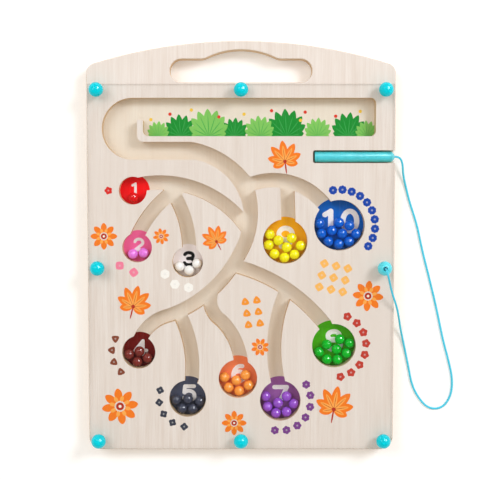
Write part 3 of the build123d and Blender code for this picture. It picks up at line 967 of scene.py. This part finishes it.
def grow(name, tree, points, material, edges=(), numbers=None, **inputs):
    """The plain mesh that a tree makes on points, as an object at the origin."""
    seeds = bpy.data.meshes.new(name)
    seeds.from_pydata([tuple(point) for point in points], list(edges), [])
    for key, values in (numbers or {}).items():
        seeds.attributes.new(key, "FLOAT", "POINT").data.foreach_set("value", list(values))
    return shape_by(new_piece(name, seeds), tree, material, **inputs)


def print_layer(name, tree, points, colour, level, numbers, **inputs):
    """One layer of ink on the board, whose level says how many layers high it stands."""
    thickness = bpy.context.scene.maze_sizes.ink_step * level
    ink = ink_finish(f"{name}_ink", tuple(colour))
    layer = grow(name, tree, points, ink, numbers=numbers, Thickness=thickness, **inputs)
    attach(layer, "board")


def face_places(places):
    """Points on the board's face, their sizes and their turns, from places as the motifs list them."""
    points = [(x * half_width, y * half_length, maze_top) for x, y, size, turn in places]
    sizes = [size for x, y, size, turn in places]
    turns = [radians(turn) for x, y, size, turn in places]
    return points, sizes, turns


def paint_node(node, material):
    """Give a solid that stays in view its material."""
    for slot in frame["nodes"][node].material_slots:
        slot.link = "OBJECT"
        slot.material = material


# Operators

class MazeOperator:
    """What every step of the model shares."""

    bl_options = {"REGISTER", "UNDO"}


class MAZE_OT_stage(MazeOperator, bpy.types.Operator):
    """Set up the camera, the lamps, the pale floor and the white surroundings"""

    bl_idname = "maze_board.stage"
    bl_label = "Stage"

    # Each lamp's place, its width, the setting of its power, and whether it lights matt surfaces too
    lamps = (
        ("key_lamp", (1.10, 0.82, 1.36), 0.56, "key_power", True),
        ("fill_lamp", (-0.80, 0.62, 1.30), 0.80, "fill_power", True),
        ("sheen_lamp", (1.00, 0.95, 1.40), 1.30, "sheen_power", False),
    )

    def execute(self, context):
        settings = context.scene.maze_stage
        self.camera(context, settings)
        for name, place, size, power, matt in self.lamps:
            lamp = self.lamp(context, name, place, size, getattr(settings, power), tuple(settings.key_tint))
            lamp.visible_diffuse = matt
        self.surroundings(context, settings.sky, tuple(settings.sky_tint))
        self.floor()
        context.scene.view_settings.view_transform = "Standard"
        return {"FINISHED"}

    def camera(self, context, settings):
        """The camera, high over the board's face and leaning a little."""
        lens = bpy.data.cameras.new("camera")
        lens.lens = settings.lens
        camera = bpy.data.objects.new("camera", lens)
        aside = settings.distance * tan(settings.tilt)
        camera.location = (settings.aim_x, settings.aim_y + aside, maze_top + settings.distance)
        camera.rotation_euler = (-settings.tilt, 0, 0)
        context.scene.collection.objects.link(camera)
        context.scene.camera = camera

    def lamp(self, context, name, place, size, power, tint):
        """A square lamp that looks at the board."""
        light = bpy.data.lights.new(name, "AREA")
        light.color = tint
        light.shape = "SQUARE"
        light.size = size
        light.energy = power
        lamp = bpy.data.objects.new(name, light)
        lamp.location = place
        way = Vector((0, 0, maze_top)) - Vector(place)
        lamp.rotation_euler = way.to_track_quat("-Z", "Y").to_euler()
        context.scene.collection.objects.link(lamp)
        return lamp

    def surroundings(self, context, sky, tint):
        """White to the camera and glass, white with a dim ceiling to mirrors, and an even light."""
        world = bpy.data.worlds.new("surroundings")
        world.use_nodes = True
        tree = world.node_tree
        tree.nodes.clear()
        rays = add(tree, "ShaderNodeLightPath").outputs
        height = part_of(tree, add(tree, "ShaderNodeTexCoord").outputs["Generated"], "Z")
        ceiling = spread(tree, height, low=0.12, high=0.50)
        ceiling = maths(tree, "MULTIPLY", ceiling, rays["Is Glossy Ray"])
        sockets = {"Color": (1, 1, 1), "Strength": varied(tree, ceiling, base=1.0, change=-0.88)}
        white = output(tree, "ShaderNodeBackground", sockets)
        even = output(tree, "ShaderNodeBackground", {"Color": tint, "Strength": sky})
        both = output(tree, "ShaderNodeMixShader", {0: seen_share(tree, rays), 1: even, 2: white})
        add(tree, "ShaderNodeOutputWorld", {"Surface": both})
        context.scene.world = world

    def floor(self):
        """A pale floor that keeps the shadow and otherwise shows as white, clear from below."""
        material, tree, place = new_material("floor_paper")
        tone = mixed(tree, (0.93, 0.93, 0.93), (0.97, 0.97, 0.97), noise(tree, place, scale=300))
        paper = output(tree, "ShaderNodeBsdfDiffuse", {"Color": tone})
        away = add(tree, "ShaderNodeVectorMath", {0: place}, operation="LENGTH").outputs["Value"]
        lift = varied(tree, spread(tree, away, low=0.22, high=0.90), base=0.14, change=0.50)
        lift = maths(tree, "MULTIPLY", seen_share(tree, add(tree, "ShaderNodeLightPath").outputs), lift)
        glow = output(tree, "ShaderNodeEmission", {"Color": (1, 1, 1), "Strength": lift})
        lit = output(tree, "ShaderNodeAddShader", {0: paper, 1: glow})
        clear = output(tree, "ShaderNodeBsdfTransparent")
        below = add(tree, "ShaderNodeNewGeometry").outputs["Backfacing"]
        show(tree, output(tree, "ShaderNodeMixShader", {0: below, 1: lit, 2: clear}))
        new_piece("floor", self.floor_sheet(), material)

    def floor_sheet(self):
        """A wide sheet just under the board, open only where the panel hides it."""
        reach, drop, inset = 3.0, -0.00015, 0.0006
        loops = [[(-reach, -reach), (reach, -reach), (reach, reach), (-reach, reach)]]
        for rim in panel_rims()[-2:]:
            count = len(rim)
            ways = [(rim[(number + 1) % count] - rim[number - 1]).normalized() for number in range(count)]
            loops.append([point + Vector((way.y, -way.x)) * inset for point, way in zip(rim, ways)])
        mesh = filled_outline("floor", loops)
        mesh.transform(Matrix.Translation((0, 0, drop)))
        if mesh.polygons[0].normal.z < 0:
            mesh.flip_normals()
        return mesh


class MAZE_OT_cord(MazeOperator, bpy.types.Operator):
    """Lay the braided cord from the top of its knob to the pen's tail"""

    bl_idname = "maze_board.cord"
    bl_label = "Cord"

    def execute(self, context):
        sizes, colours = context.scene.maze_sizes, context.scene.maze_colours
        exit_point = Vector((knob_middle.x, knob_middle.y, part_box("cord_anchor")[1].z))
        end_point = Vector((tail_high.x, pen_row, pen_height))
        points = [exit_point, exit_point + Vector((0, 0, sizes.cord_run_out))]
        points += [Vector(point) for point in cord_route]
        points += [end_point + Vector((sizes.cord_run_out, 0, 0)), end_point]
        path = self.smooth_path(points)
        edges = [(number, number + 1) for number in range(len(path) - 1)]
        braid = braid_finish("cord_braid", tuple(colours.cord), sizes.cord_diameter)
        cord = grow(
            "free_cord", tube_tree(), path, braid, edges,
            Diameter=sizes.cord_diameter, Sides=sizes.cord_sides,
        )
        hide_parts("cord")
        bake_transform(cord)
        paint_node("cord_anchor", braid)
        return {"FINISHED"}

    def smooth_path(self, points):
        """Places close together along the smooth line that the points draw."""
        line = bpy.data.curves.new("cord_route", "CURVE")
        line.dimensions = "3D"
        spline = line.splines.new("NURBS")
        spline.points.add(len(points) - 1)
        for point, place in zip(spline.points, points):
            point.co = (*place, 1)
        spline.order_u = 3
        spline.use_endpoint_u = True
        spline.resolution_u = 12
        return [vertex.co.copy() for vertex in curve_mesh(line).vertices]


class MAZE_OT_wood(MazeOperator, bpy.types.Operator):
    """Finish the routed board and the panel behind it"""

    bl_idname = "maze_board.wood"
    bl_label = "Wood"

    def execute(self, context):
        colours = context.scene.maze_colours
        board_plies, panel_plies = 7, 3
        walls = tuple(colours.routed), tuple(colours.routed_dark)
        board = wood_finish(
            "routed_plywood", tuple(colours.wood), tuple(colours.wood_dark), *walls,
            ply=(board_high.z - board_low.z) / board_plies,
        )
        panel = wood_finish(
            "panel_plywood", tuple(colours.panel), tuple(colours.panel_dark), *walls,
            ply=floor_height / panel_plies,
        )
        paint_node("maze_board", board)
        paint_node("back_panel", panel)
        return {"FINISHED"}


class MAZE_OT_cover(MazeOperator, bpy.types.Operator):
    """Lay the clear sheet just over the printed face"""

    bl_idname = "maze_board.cover"
    bl_label = "Clear cover"

    def execute(self, context):
        underside = cover_low.z + context.scene.maze_sizes.cover_air
        work = merged_copy("cover_sheet")
        for vertex in work.verts:
            vertex.co.z = max(vertex.co.z, underside)
        mesh = mesh_from(work, "clear_cover")
        mesh.shade_flat()
        cover = new_piece("clear_cover", mesh, clear_finish("clear_sheet"))
        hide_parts("cover_sheet")
        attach(cover, "board")
        return {"FINISHED"}


class MAZE_OT_knobs(MazeOperator, bpy.types.Operator):
    """Set the seven closed knobs and turn the bored one that the cord leaves"""

    bl_idname = "maze_board.knobs"
    bl_label = "Knobs"

    def execute(self, context):
        sizes, colours = context.scene.maze_sizes, context.scene.maze_colours
        nodes = sorted(name for name in frame["nodes"] if name.startswith("cap_knob_"))
        boxes = [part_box(node) for node in nodes]
        points = [((low.x + high.x) / 2, (low.y + high.y) / 2, high.z - knob_radius) for low, high in boxes]
        foot = boxes[0][1].z - knob_radius - cover_top
        paint = gloss_finish(
            "knob_gloss", tuple(colours.knob), roughness=0.14, coat=0.04, dust=0.1, specular=0.20
        )
        knobs = grow(
            "cap_knobs", knob_tree(), points, paint,
            Radius=knob_radius, Collar_radius=sizes.collar_radius, Foot=foot, Segments=sizes.knob_segments,
        )
        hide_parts(*nodes)
        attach(knobs, "board")
        self.bored_knob(sizes, colours)
        return {"FINISHED"}

    def bored_knob(self, sizes, colours):
        """The knob with the cord's hole through it, its mouth rounded, on its hollow spigot."""
        mouth_steps, ball_steps = 6, 40
        bore, rounding, spigot = sizes.bore_radius, sizes.bore_round, sizes.spigot_radius
        middle = cover_top + sizes.collar_height + sqrt(knob_radius ** 2 - sizes.collar_radius ** 2)
        start = asin((bore + rounding) / knob_radius)
        stop = pi - asin(sizes.collar_radius / knob_radius)
        rim = middle + knob_radius * cos(start)
        profile = [(knob_low.z, bore), (rim - rounding, bore)]
        for step in range(1, mouth_steps):
            angle = pi / 2 * step / mouth_steps
            profile.append((rim - rounding * (1 - sin(angle)), bore + rounding * (1 - cos(angle))))
        for step in range(ball_steps + 1):
            angle = start + (stop - start) * step / ball_steps
            profile.append((middle + knob_radius * cos(angle), knob_radius * sin(angle)))
        profile += [(cover_top, sizes.collar_radius), (cover_top, spigot), (knob_low.z, spigot)]
        paint = gloss_finish(
            "cord_knob_gloss", tuple(colours.cord_knob), roughness=0.16, coat=0.15, dust=0.1
        )
        origin = (knob_middle.x, knob_middle.y, 0)
        knob = turned_piece("bored_knob", profile, origin, (0, 0, 1), paint, closed=True)
        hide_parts("cord_knob")
        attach(knob, "board")


class MAZE_OT_screws(MazeOperator, bpy.types.Operator):
    """Finish the plated screws behind the board"""

    bl_idname = "maze_board.screws"
    bl_label = "Screws"

    def execute(self, context):
        paint_node("knob_screws", steel_finish("screw_plating", tuple(context.scene.maze_colours.steel)))
        return {"FINISHED"}


class MAZE_OT_pen(MazeOperator, bpy.types.Operator):
    """Turn the pen's barrel, tip and tail, and finish its magnet"""

    bl_idname = "maze_board.pen"
    bl_label = "Magnet pen"

    def execute(self, context):
        sizes, colours = context.scene.maze_sizes, context.scene.maze_colours
        tip_steps = 8
        bore, spigot, edge = sizes.pen_bore, sizes.pen_spigot, sizes.pen_edge
        rounding, flat = sizes.tip_round, sizes.tail_flat
        rim = pen_radius - edge
        barrel = [
            (barrel_low.x, bore), (barrel_low.x, rim), (barrel_low.x + edge, pen_radius),
            (barrel_high.x - edge, pen_radius), (barrel_high.x, rim), (barrel_high.x, bore),
        ]
        tip = [(tip_low.x, 0)]
        for step in range(tip_steps + 1):
            angle = pi / 2 * step / tip_steps
            tip.append((tip_low.x + rounding * (1 - cos(angle)), pen_radius - rounding * (1 - sin(angle))))
        tip += [
            (barrel_low.x - edge, pen_radius), (barrel_low.x, rim), (barrel_low.x, spigot),
            (tip_high.x, spigot), (tip_high.x, 0),
        ]
        tail = [
            (tail_low.x, 0), (tail_low.x, spigot), (barrel_high.x, spigot), (barrel_high.x, rim),
            (barrel_high.x + edge, pen_radius - edge / 2), (tail_high.x - edge, flat + edge),
            (tail_high.x, flat - edge), (tail_high.x, 0),
        ]
        paint = gloss_finish("pen_gloss", tuple(colours.pen), roughness=0.26, coat=0.3, dust=0.3)
        self.piece("pen_tube", "pen_barrel", barrel, paint, closed=True)
        self.piece("pen_tip", "pen_tip_cap", tip, paint)
        self.piece("pen_tail", "pen_tail_plug", tail, paint)
        paint_node("pen_magnet", steel_finish("magnet_plating", tuple(colours.steel)))
        return {"FINISHED"}

    def piece(self, name, node, profile, paint, closed=False):
        """One turned part of the pen, in the place of its solid."""
        origin = (0, pen_row, pen_height)
        made = turned_piece(name, profile, origin, (1, 0, 0), paint, closed=closed, steps=96)
        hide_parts(node)
        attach(made, "pen")


class MAZE_OT_balls(MazeOperator, bpy.types.Operator):
    """Set the 55 coated balls, one mesh for each body that rolls"""

    bl_idname = "maze_board.balls"
    bl_label = "Balls"

    def execute(self, context):
        segments = context.scene.maze_sizes.ball_segments
        tree = ball_tree()
        groups = frame["record"]["behaviour"]["bodies"]
        for colour in ball_colours:
            paint = gloss_finish(
                f"{colour}_paint", shade(*ball_paints[colour]), roughness=0.11, coat=0.08, dust=0.1,
                specular=0.34,
            )
            for body in (f"{colour}_lead", f"{colour}_rest"):
                if body not in groups:
                    continue
                points = [middle for node in groups[body] for middle in solid_middles(node)]
                balls = grow(
                    f"{body}_balls", tree, points, paint, Diameter=ball_diameter, Segments=segments
                )
                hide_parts(*groups[body])
                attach(balls, body)
        return {"FINISHED"}


class MAZE_OT_pocket_prints(MazeOperator, bpy.types.Operator):
    """Print the coloured floor and the numeral of each pocket"""

    bl_idname = "maze_board.pocket_prints"
    bl_label = "Pocket prints"

    def execute(self, context):
        sizes, colours = context.scene.maze_sizes, context.scene.maze_colours
        union = union_tree()
        light = ink_finish("numeral_ink", tuple(colours.numeral), wear=0.1)
        dark = ink_finish("dark_numeral_ink", tuple(colours.numeral_dark), wear=0.1)
        low, high = floor_height - sizes.ink_step, floor_height + sizes.ink_step
        right_share, up_share = 0.04, 0.15
        for number, (colour, (middle, radius)) in enumerate(zip(ball_colours, pockets), 1):
            ink = ink_finish(f"{colour}_floor_ink", shade(*pocket_prints[colour]), wear=0.12)
            disc = flat_disc(f"{colour}_pocket_floor", middle, radius + sizes.disc_margin, low, high, ink)
            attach(disc, "board")
            strokes = self.strokes(number, numeral_shares[number - 1] * radius, 2 * sizes.ink_step)
            piece = new_piece(f"numeral_{number}", strokes)
            numeral = shape_by(piece, union, dark if colour == "white" else light)
            lift = Vector((right_share * radius, up_share * radius, high))
            numeral.data.transform(Matrix.Translation(middle + lift))
            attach(numeral, "board")
        return {"FINISHED"}

    def strokes(self, number, height, thickness):
        """A bold numeral's plates with round ends, which overlap."""
        pitch, widening = 0.84, 1.06
        digits = str(number)
        work = bmesh.new()
        for place, digit in enumerate(digits):
            across = (place - (len(digits) - 1) / 2) * pitch
            for line, closed in digit_lines(digit):
                line = [Vector((x * widening + across, y)) * height for x, y in line]
                plate = stroke_plate(line, closed, numeral_stroke_share * height / 2, thickness)
                work.from_mesh(plate)
                bpy.data.meshes.remove(plate)
        bmesh.ops.remove_doubles(work, verts=work.verts, dist=merge_distance)
        bmesh.ops.recalc_face_normals(work, faces=work.faces)
        return mesh_from(work, "strokes")


class MAZE_OT_marks(MazeOperator, bpy.types.Operator):
    """Print as many plain counting marks by each pocket as it has balls"""

    bl_idname = "maze_board.marks"
    bl_label = "Counting marks"

    # For each pocket: corners, how deep they are cut in, and the arc's start and step in degrees
    arcs = {
        1: (5, 0.62, 180, 0),
        2: (4, 0.82, 226, 36),
        3: (6, 0.88, 208, 32),
        4: (3, 0.62, 150, 26),
        5: (4, 0.60, 163, 25),
        7: (6, 0.70, -100, 22),
        8: (5, 0.72, -78, 20.5),
        10: (8, 0.84, -36, 15.2),
    }
    # Two pockets have too little wood round them, so their marks stand in a block of rows.
    # Corners and their cut, the block's place, its columns, their pitch, and its lean in degrees
    blocks = {
        6: (3, 0.66, (0.076, -0.320), 2, 0.0086, 8),
        9: (4, 0.74, (0.604, -0.148), 3, 0.0088, -12),
    }

    def execute(self, context):
        sizes = context.scene.maze_sizes
        heart_share, corner_share = 0.24, 0.3
        tree = mark_tree()
        for number, (colour, (middle, pocket_radius)) in enumerate(zip(ball_colours, pockets), 1):
            if number in self.arcs:
                corners, inner, first, step = self.arcs[number]
                turns = [radians(first + step * count) for count in range(number)]
                reach = pocket_radius + sizes.mark_gap
                points = [middle + Vector((reach * cos(turn), reach * sin(turn), 0)) for turn in turns]
            else:
                corners, inner, place, columns, pitch, lean = self.blocks[number]
                turns = [radians(lean + 90)] * number
                points = self.block_points(number, place, columns, pitch, radians(lean))
            places = [(point.x, point.y, maze_top) for point in points]
            radius = sizes.tight_mark_radius if number == len(pockets) else sizes.mark_radius
            paint = shade(*mark_paints[colour])
            pale = tuple(part + 0.3 for part in scaled(paint, 0.6))
            layers = ("marks", 1.0, paint, 1), ("mark_hearts", heart_share, pale, 2)
            for layer, size, tone, level in layers:
                print_layer(
                    f"{colour}_{layer}", tree, places, tone, level, {"turn": turns}, Corners=corners,
                    Inner=inner, Radius=radius * size, Corner_radius=radius * size * corner_share,
                )
        return {"FINISHED"}

    def block_points(self, number, place, columns, pitch, lean):
        """The marks' places in a block of rows that leans."""
        x, y = place
        rows = number // columns
        spin = Matrix.Rotation(lean, 3, "Z")
        centre = Vector((x * half_width, y * half_length, 0))
        return [
            centre + spin @ Vector(((column - (columns - 1) / 2) * pitch, ((rows - 1) / 2 - row) * pitch, 0))
            for row in range(rows)
            for column in range(columns)
        ]


class MAZE_OT_blossoms(MazeOperator, bpy.types.Operator):
    """Print plain blossoms on the free wood of the face"""

    bl_idname = "maze_board.blossoms"
    bl_label = "Blossoms"

    # Places as shares of half the board's width and length, with size and turn in degrees
    places = (
        (-0.893, 0.055, 1.02, 0), (0.830, -0.238, 1.18, 40), (-0.795, -0.785, 1.40, 8),
        (-0.045, -0.868, 0.96, 0), (0.125, -0.490, 0.70, 20), (-0.520, 0.055, 0.62, 10),
    )
    # Each layer's colour, petals, reach, petal length and width, pointing, level and further turn
    layers = (
        ("blossom_petals", "petal", 8, 0.0062, 0.0034, 0.0021, 0.30, 1, 0),
        ("blossom_inner_petals", "petal_light", 8, 0.0042, 0.0016, 0.0010, 0.30, 2, pi / 8),
        ("blossom_hearts", "heart", 1, 0.0, 0.0021, 0.0021, 0.0, 3, 0),
        ("blossom_dots", "cream", 1, 0.0, 0.0008, 0.0008, 0.0, 4, 0),
    )

    def execute(self, context):
        colours = context.scene.maze_colours
        tree = petal_tree()
        points, sizes, turns = face_places(self.places)
        for name, colour, petals, reach, length, width, point_share, level, further in self.layers:
            numbers = {"size": sizes, "turn": [turn + further for turn in turns]}
            print_layer(
                name, tree, points, getattr(colours, colour), level, numbers, Petals=petals, Reach=reach,
                Petal_length=length, Petal_width=width, Point_share=point_share,
            )
        return {"FINISHED"}


class MAZE_OT_autumn_leaves(MazeOperator, bpy.types.Operator):
    """Print plain hand-shaped leaves between the blossoms"""

    bl_idname = "maze_board.autumn_leaves"
    bl_label = "Autumn leaves"

    # Places as shares of half the board's width and length, with a leaf's reach and its turn in degrees
    places = (
        (0.285, 0.420, 0.0152, 8), (-0.705, -0.290, 0.0158, -14), (-0.160, 0.030, 0.0122, 28),
        (0.610, -0.800, 0.0175, -10),
    )
    # Each fan's colour, reach, width and level
    fans = (
        ("autumn_leaf_blades", "petal", 0.5, 0.19, 1),
        ("autumn_leaf_lights", "petal_light", 0.38, 0.075, 2),
        ("autumn_leaf_veins", "heart", 0.34, 0.011, 3),
    )
    # Each oval's reach, length, width and level
    ovals = (
        ("autumn_leaf_stalks", 0.30, 0.30, 0.034, 2),
        ("autumn_leaf_hearts", 0.0, 0.085, 0.085, 4),
    )

    def execute(self, context):
        colours = context.scene.maze_colours
        points, sizes, turns = face_places(self.places)
        tree = fan_tree()
        numbers = {"size": sizes, "turn": turns}
        for name, colour, reach, width, level in self.fans:
            print_layer(
                name, tree, points, getattr(colours, colour), level, numbers, Leaves=7, Reach=reach,
                Leaf_width=width, Opening=radians(216), Point_share=0.35,
            )
        tree = petal_tree()
        numbers = {"size": sizes, "turn": [turn - pi / 2 for turn in turns]}
        for name, reach, length, width, level in self.ovals:
            print_layer(
                name, tree, points, colours.heart, level, numbers, Petals=1, Reach=reach,
                Petal_length=length, Petal_width=width, Point_share=0.0,
            )
        return {"FINISHED"}


class MAZE_OT_leaves(MazeOperator, bpy.types.Operator):
    """Print fans of leaves and small dots along the floor of the store"""

    bl_idname = "maze_board.leaves"
    bl_label = "Store leaves"

    # How far along the store's floor each fan stands, its size and its lean in degrees
    dark_fans = ((-0.395, 0.0165, 5), (-0.045, 0.0140, -5), (0.300, 0.0205, 4), (0.700, 0.0180, -6))
    light_fans = (
        (-0.545, 0.0115, -5), (-0.210, 0.0205, 3), (0.125, 0.0155, 6), (0.500, 0.0140, -4),
        (0.825, 0.0120, 4),
    )
    # How far along and how high over the fans' feet each dot lies
    red_dots = (
        (-0.465, 0.0165), (-0.145, 0.0145), (0.200, 0.0190), (0.420, 0.0180), (0.620, 0.0150),
    )
    yellow_dots = (
        (-0.325, 0.0195), (0.020, 0.0165), (0.390, 0.0120), (0.780, 0.0185), (-0.590, 0.0125),
    )

    def execute(self, context):
        sizes, colours = context.scene.maze_sizes, context.scene.maze_colours
        foot = sizes.store_foot
        tree = fan_tree()
        for name, fans, colour, reach, width, level in (
            ("dark_leaves", self.dark_fans, colours.leaf, 0.5, 0.17, 1),
            ("light_leaves", self.light_fans, colours.leaf_light, 0.5, 0.17, 2),
            ("dark_veins", self.dark_fans, colours.vein, 0.40, 0.013, 2),
            ("light_veins", self.light_fans, colours.vein, 0.40, 0.013, 3),
        ):
            points = [(x * half_width, foot, floor_height) for x, size, lean in fans]
            numbers = {
                "size": [size for x, size, lean in fans],
                "turn": [radians(lean) for x, size, lean in fans],
            }
            print_layer(
                name, tree, points, colour, level, numbers, Leaves=9, Reach=reach, Leaf_width=width,
                Opening=radians(164), Point_share=0.5,
            )
        tree = mark_tree()
        for name, dots, colour in (
            ("red_dots", self.red_dots, colours.berry),
            ("yellow_dots", self.yellow_dots, colours.pollen),
        ):
            points = [(x * half_width, foot + y, floor_height) for x, y in dots]
            print_layer(
                name, tree, points, colour, 3, {"turn": [0.0] * len(dots)}, Corners=8, Inner=0.92,
                Radius=sizes.dot_radius, Corner_radius=sizes.dot_corner,
            )
        return {"FINISHED"}


class MAZE_OT_lamp_reach(MazeOperator, bpy.types.Operator):
    """Keep the main lamp off the clear sheet, and the sheen lamp on the glossy pieces alone"""

    bl_idname = "maze_board.lamp_reach"
    bl_label = "Lamp reach"

    glossy = ("cap_knobs", "bored_knob", "pen_tube", "pen_tip", "pen_tail")

    def execute(self, context):
        balls = [piece for piece in context.scene.objects if piece.name.endswith("_balls")]
        self.group("sheen_lamp", balls + [bpy.data.objects[name] for name in self.glossy], "INCLUDE")
        self.group("key_lamp", [bpy.data.objects["clear_cover"]], "EXCLUDE")
        return {"FINISHED"}

    def group(self, lamp, pieces, state):
        """The pieces that a lamp alone lights, or passes by."""
        reach = bpy.data.collections.new(f"{lamp}_reach")
        for piece in pieces:
            reach.objects.link(piece)
        for entry in reach.collection_objects:
            entry.light_linking.link_state = state
        bpy.data.objects[lamp].light_linking.receiver_collection = reach


class MAZE_PT_panel(bpy.types.Panel):
    """The maze board's steps and settings"""

    bl_idname = "MAZE_PT_panel"
    bl_label = "Maze Board"
    bl_space_type = "VIEW_3D"
    bl_region_type = "UI"
    bl_category = "Maze Board"

    def draw(self, context):
        for step in steps:
            self.layout.operator(step.bl_idname)
        for key in settings_groups:
            group = getattr(context.scene, key)
            box = self.layout.box()
            for name in group.bl_rna.properties.keys():
                if name not in ("rna_type", "name"):
                    box.prop(group, name)


steps = (
    MAZE_OT_stage, MAZE_OT_cord, MAZE_OT_wood, MAZE_OT_cover, MAZE_OT_knobs, MAZE_OT_screws, MAZE_OT_pen,
    MAZE_OT_balls, MAZE_OT_pocket_prints, MAZE_OT_marks, MAZE_OT_blossoms, MAZE_OT_autumn_leaves,
    MAZE_OT_leaves, MAZE_OT_lamp_reach,
)
settings_groups = {
    "maze_sizes": MazeBoardSizes,
    "maze_colours": MazeBoardColours,
    "maze_stage": MazeStageSettings,
}


def register():
    for group in settings_groups.values():
        bpy.utils.register_class(group)
    for name, group in settings_groups.items():
        setattr(bpy.types.Scene, name, PointerProperty(type=group))
    for step in steps:
        bpy.utils.register_class(step)
    bpy.utils.register_class(MAZE_PT_panel)


def unregister():
    bpy.utils.unregister_class(MAZE_PT_panel)
    for step in reversed(steps):
        bpy.utils.unregister_class(step)
    for name, group in settings_groups.items():
        delattr(bpy.types.Scene, name)
        bpy.utils.unregister_class(group)


def main():
    register()
    for step in steps:
        family, name = step.bl_idname.split(".")
        getattr(getattr(bpy.ops, family), name)()


if __name__ == "__main__":
    main()
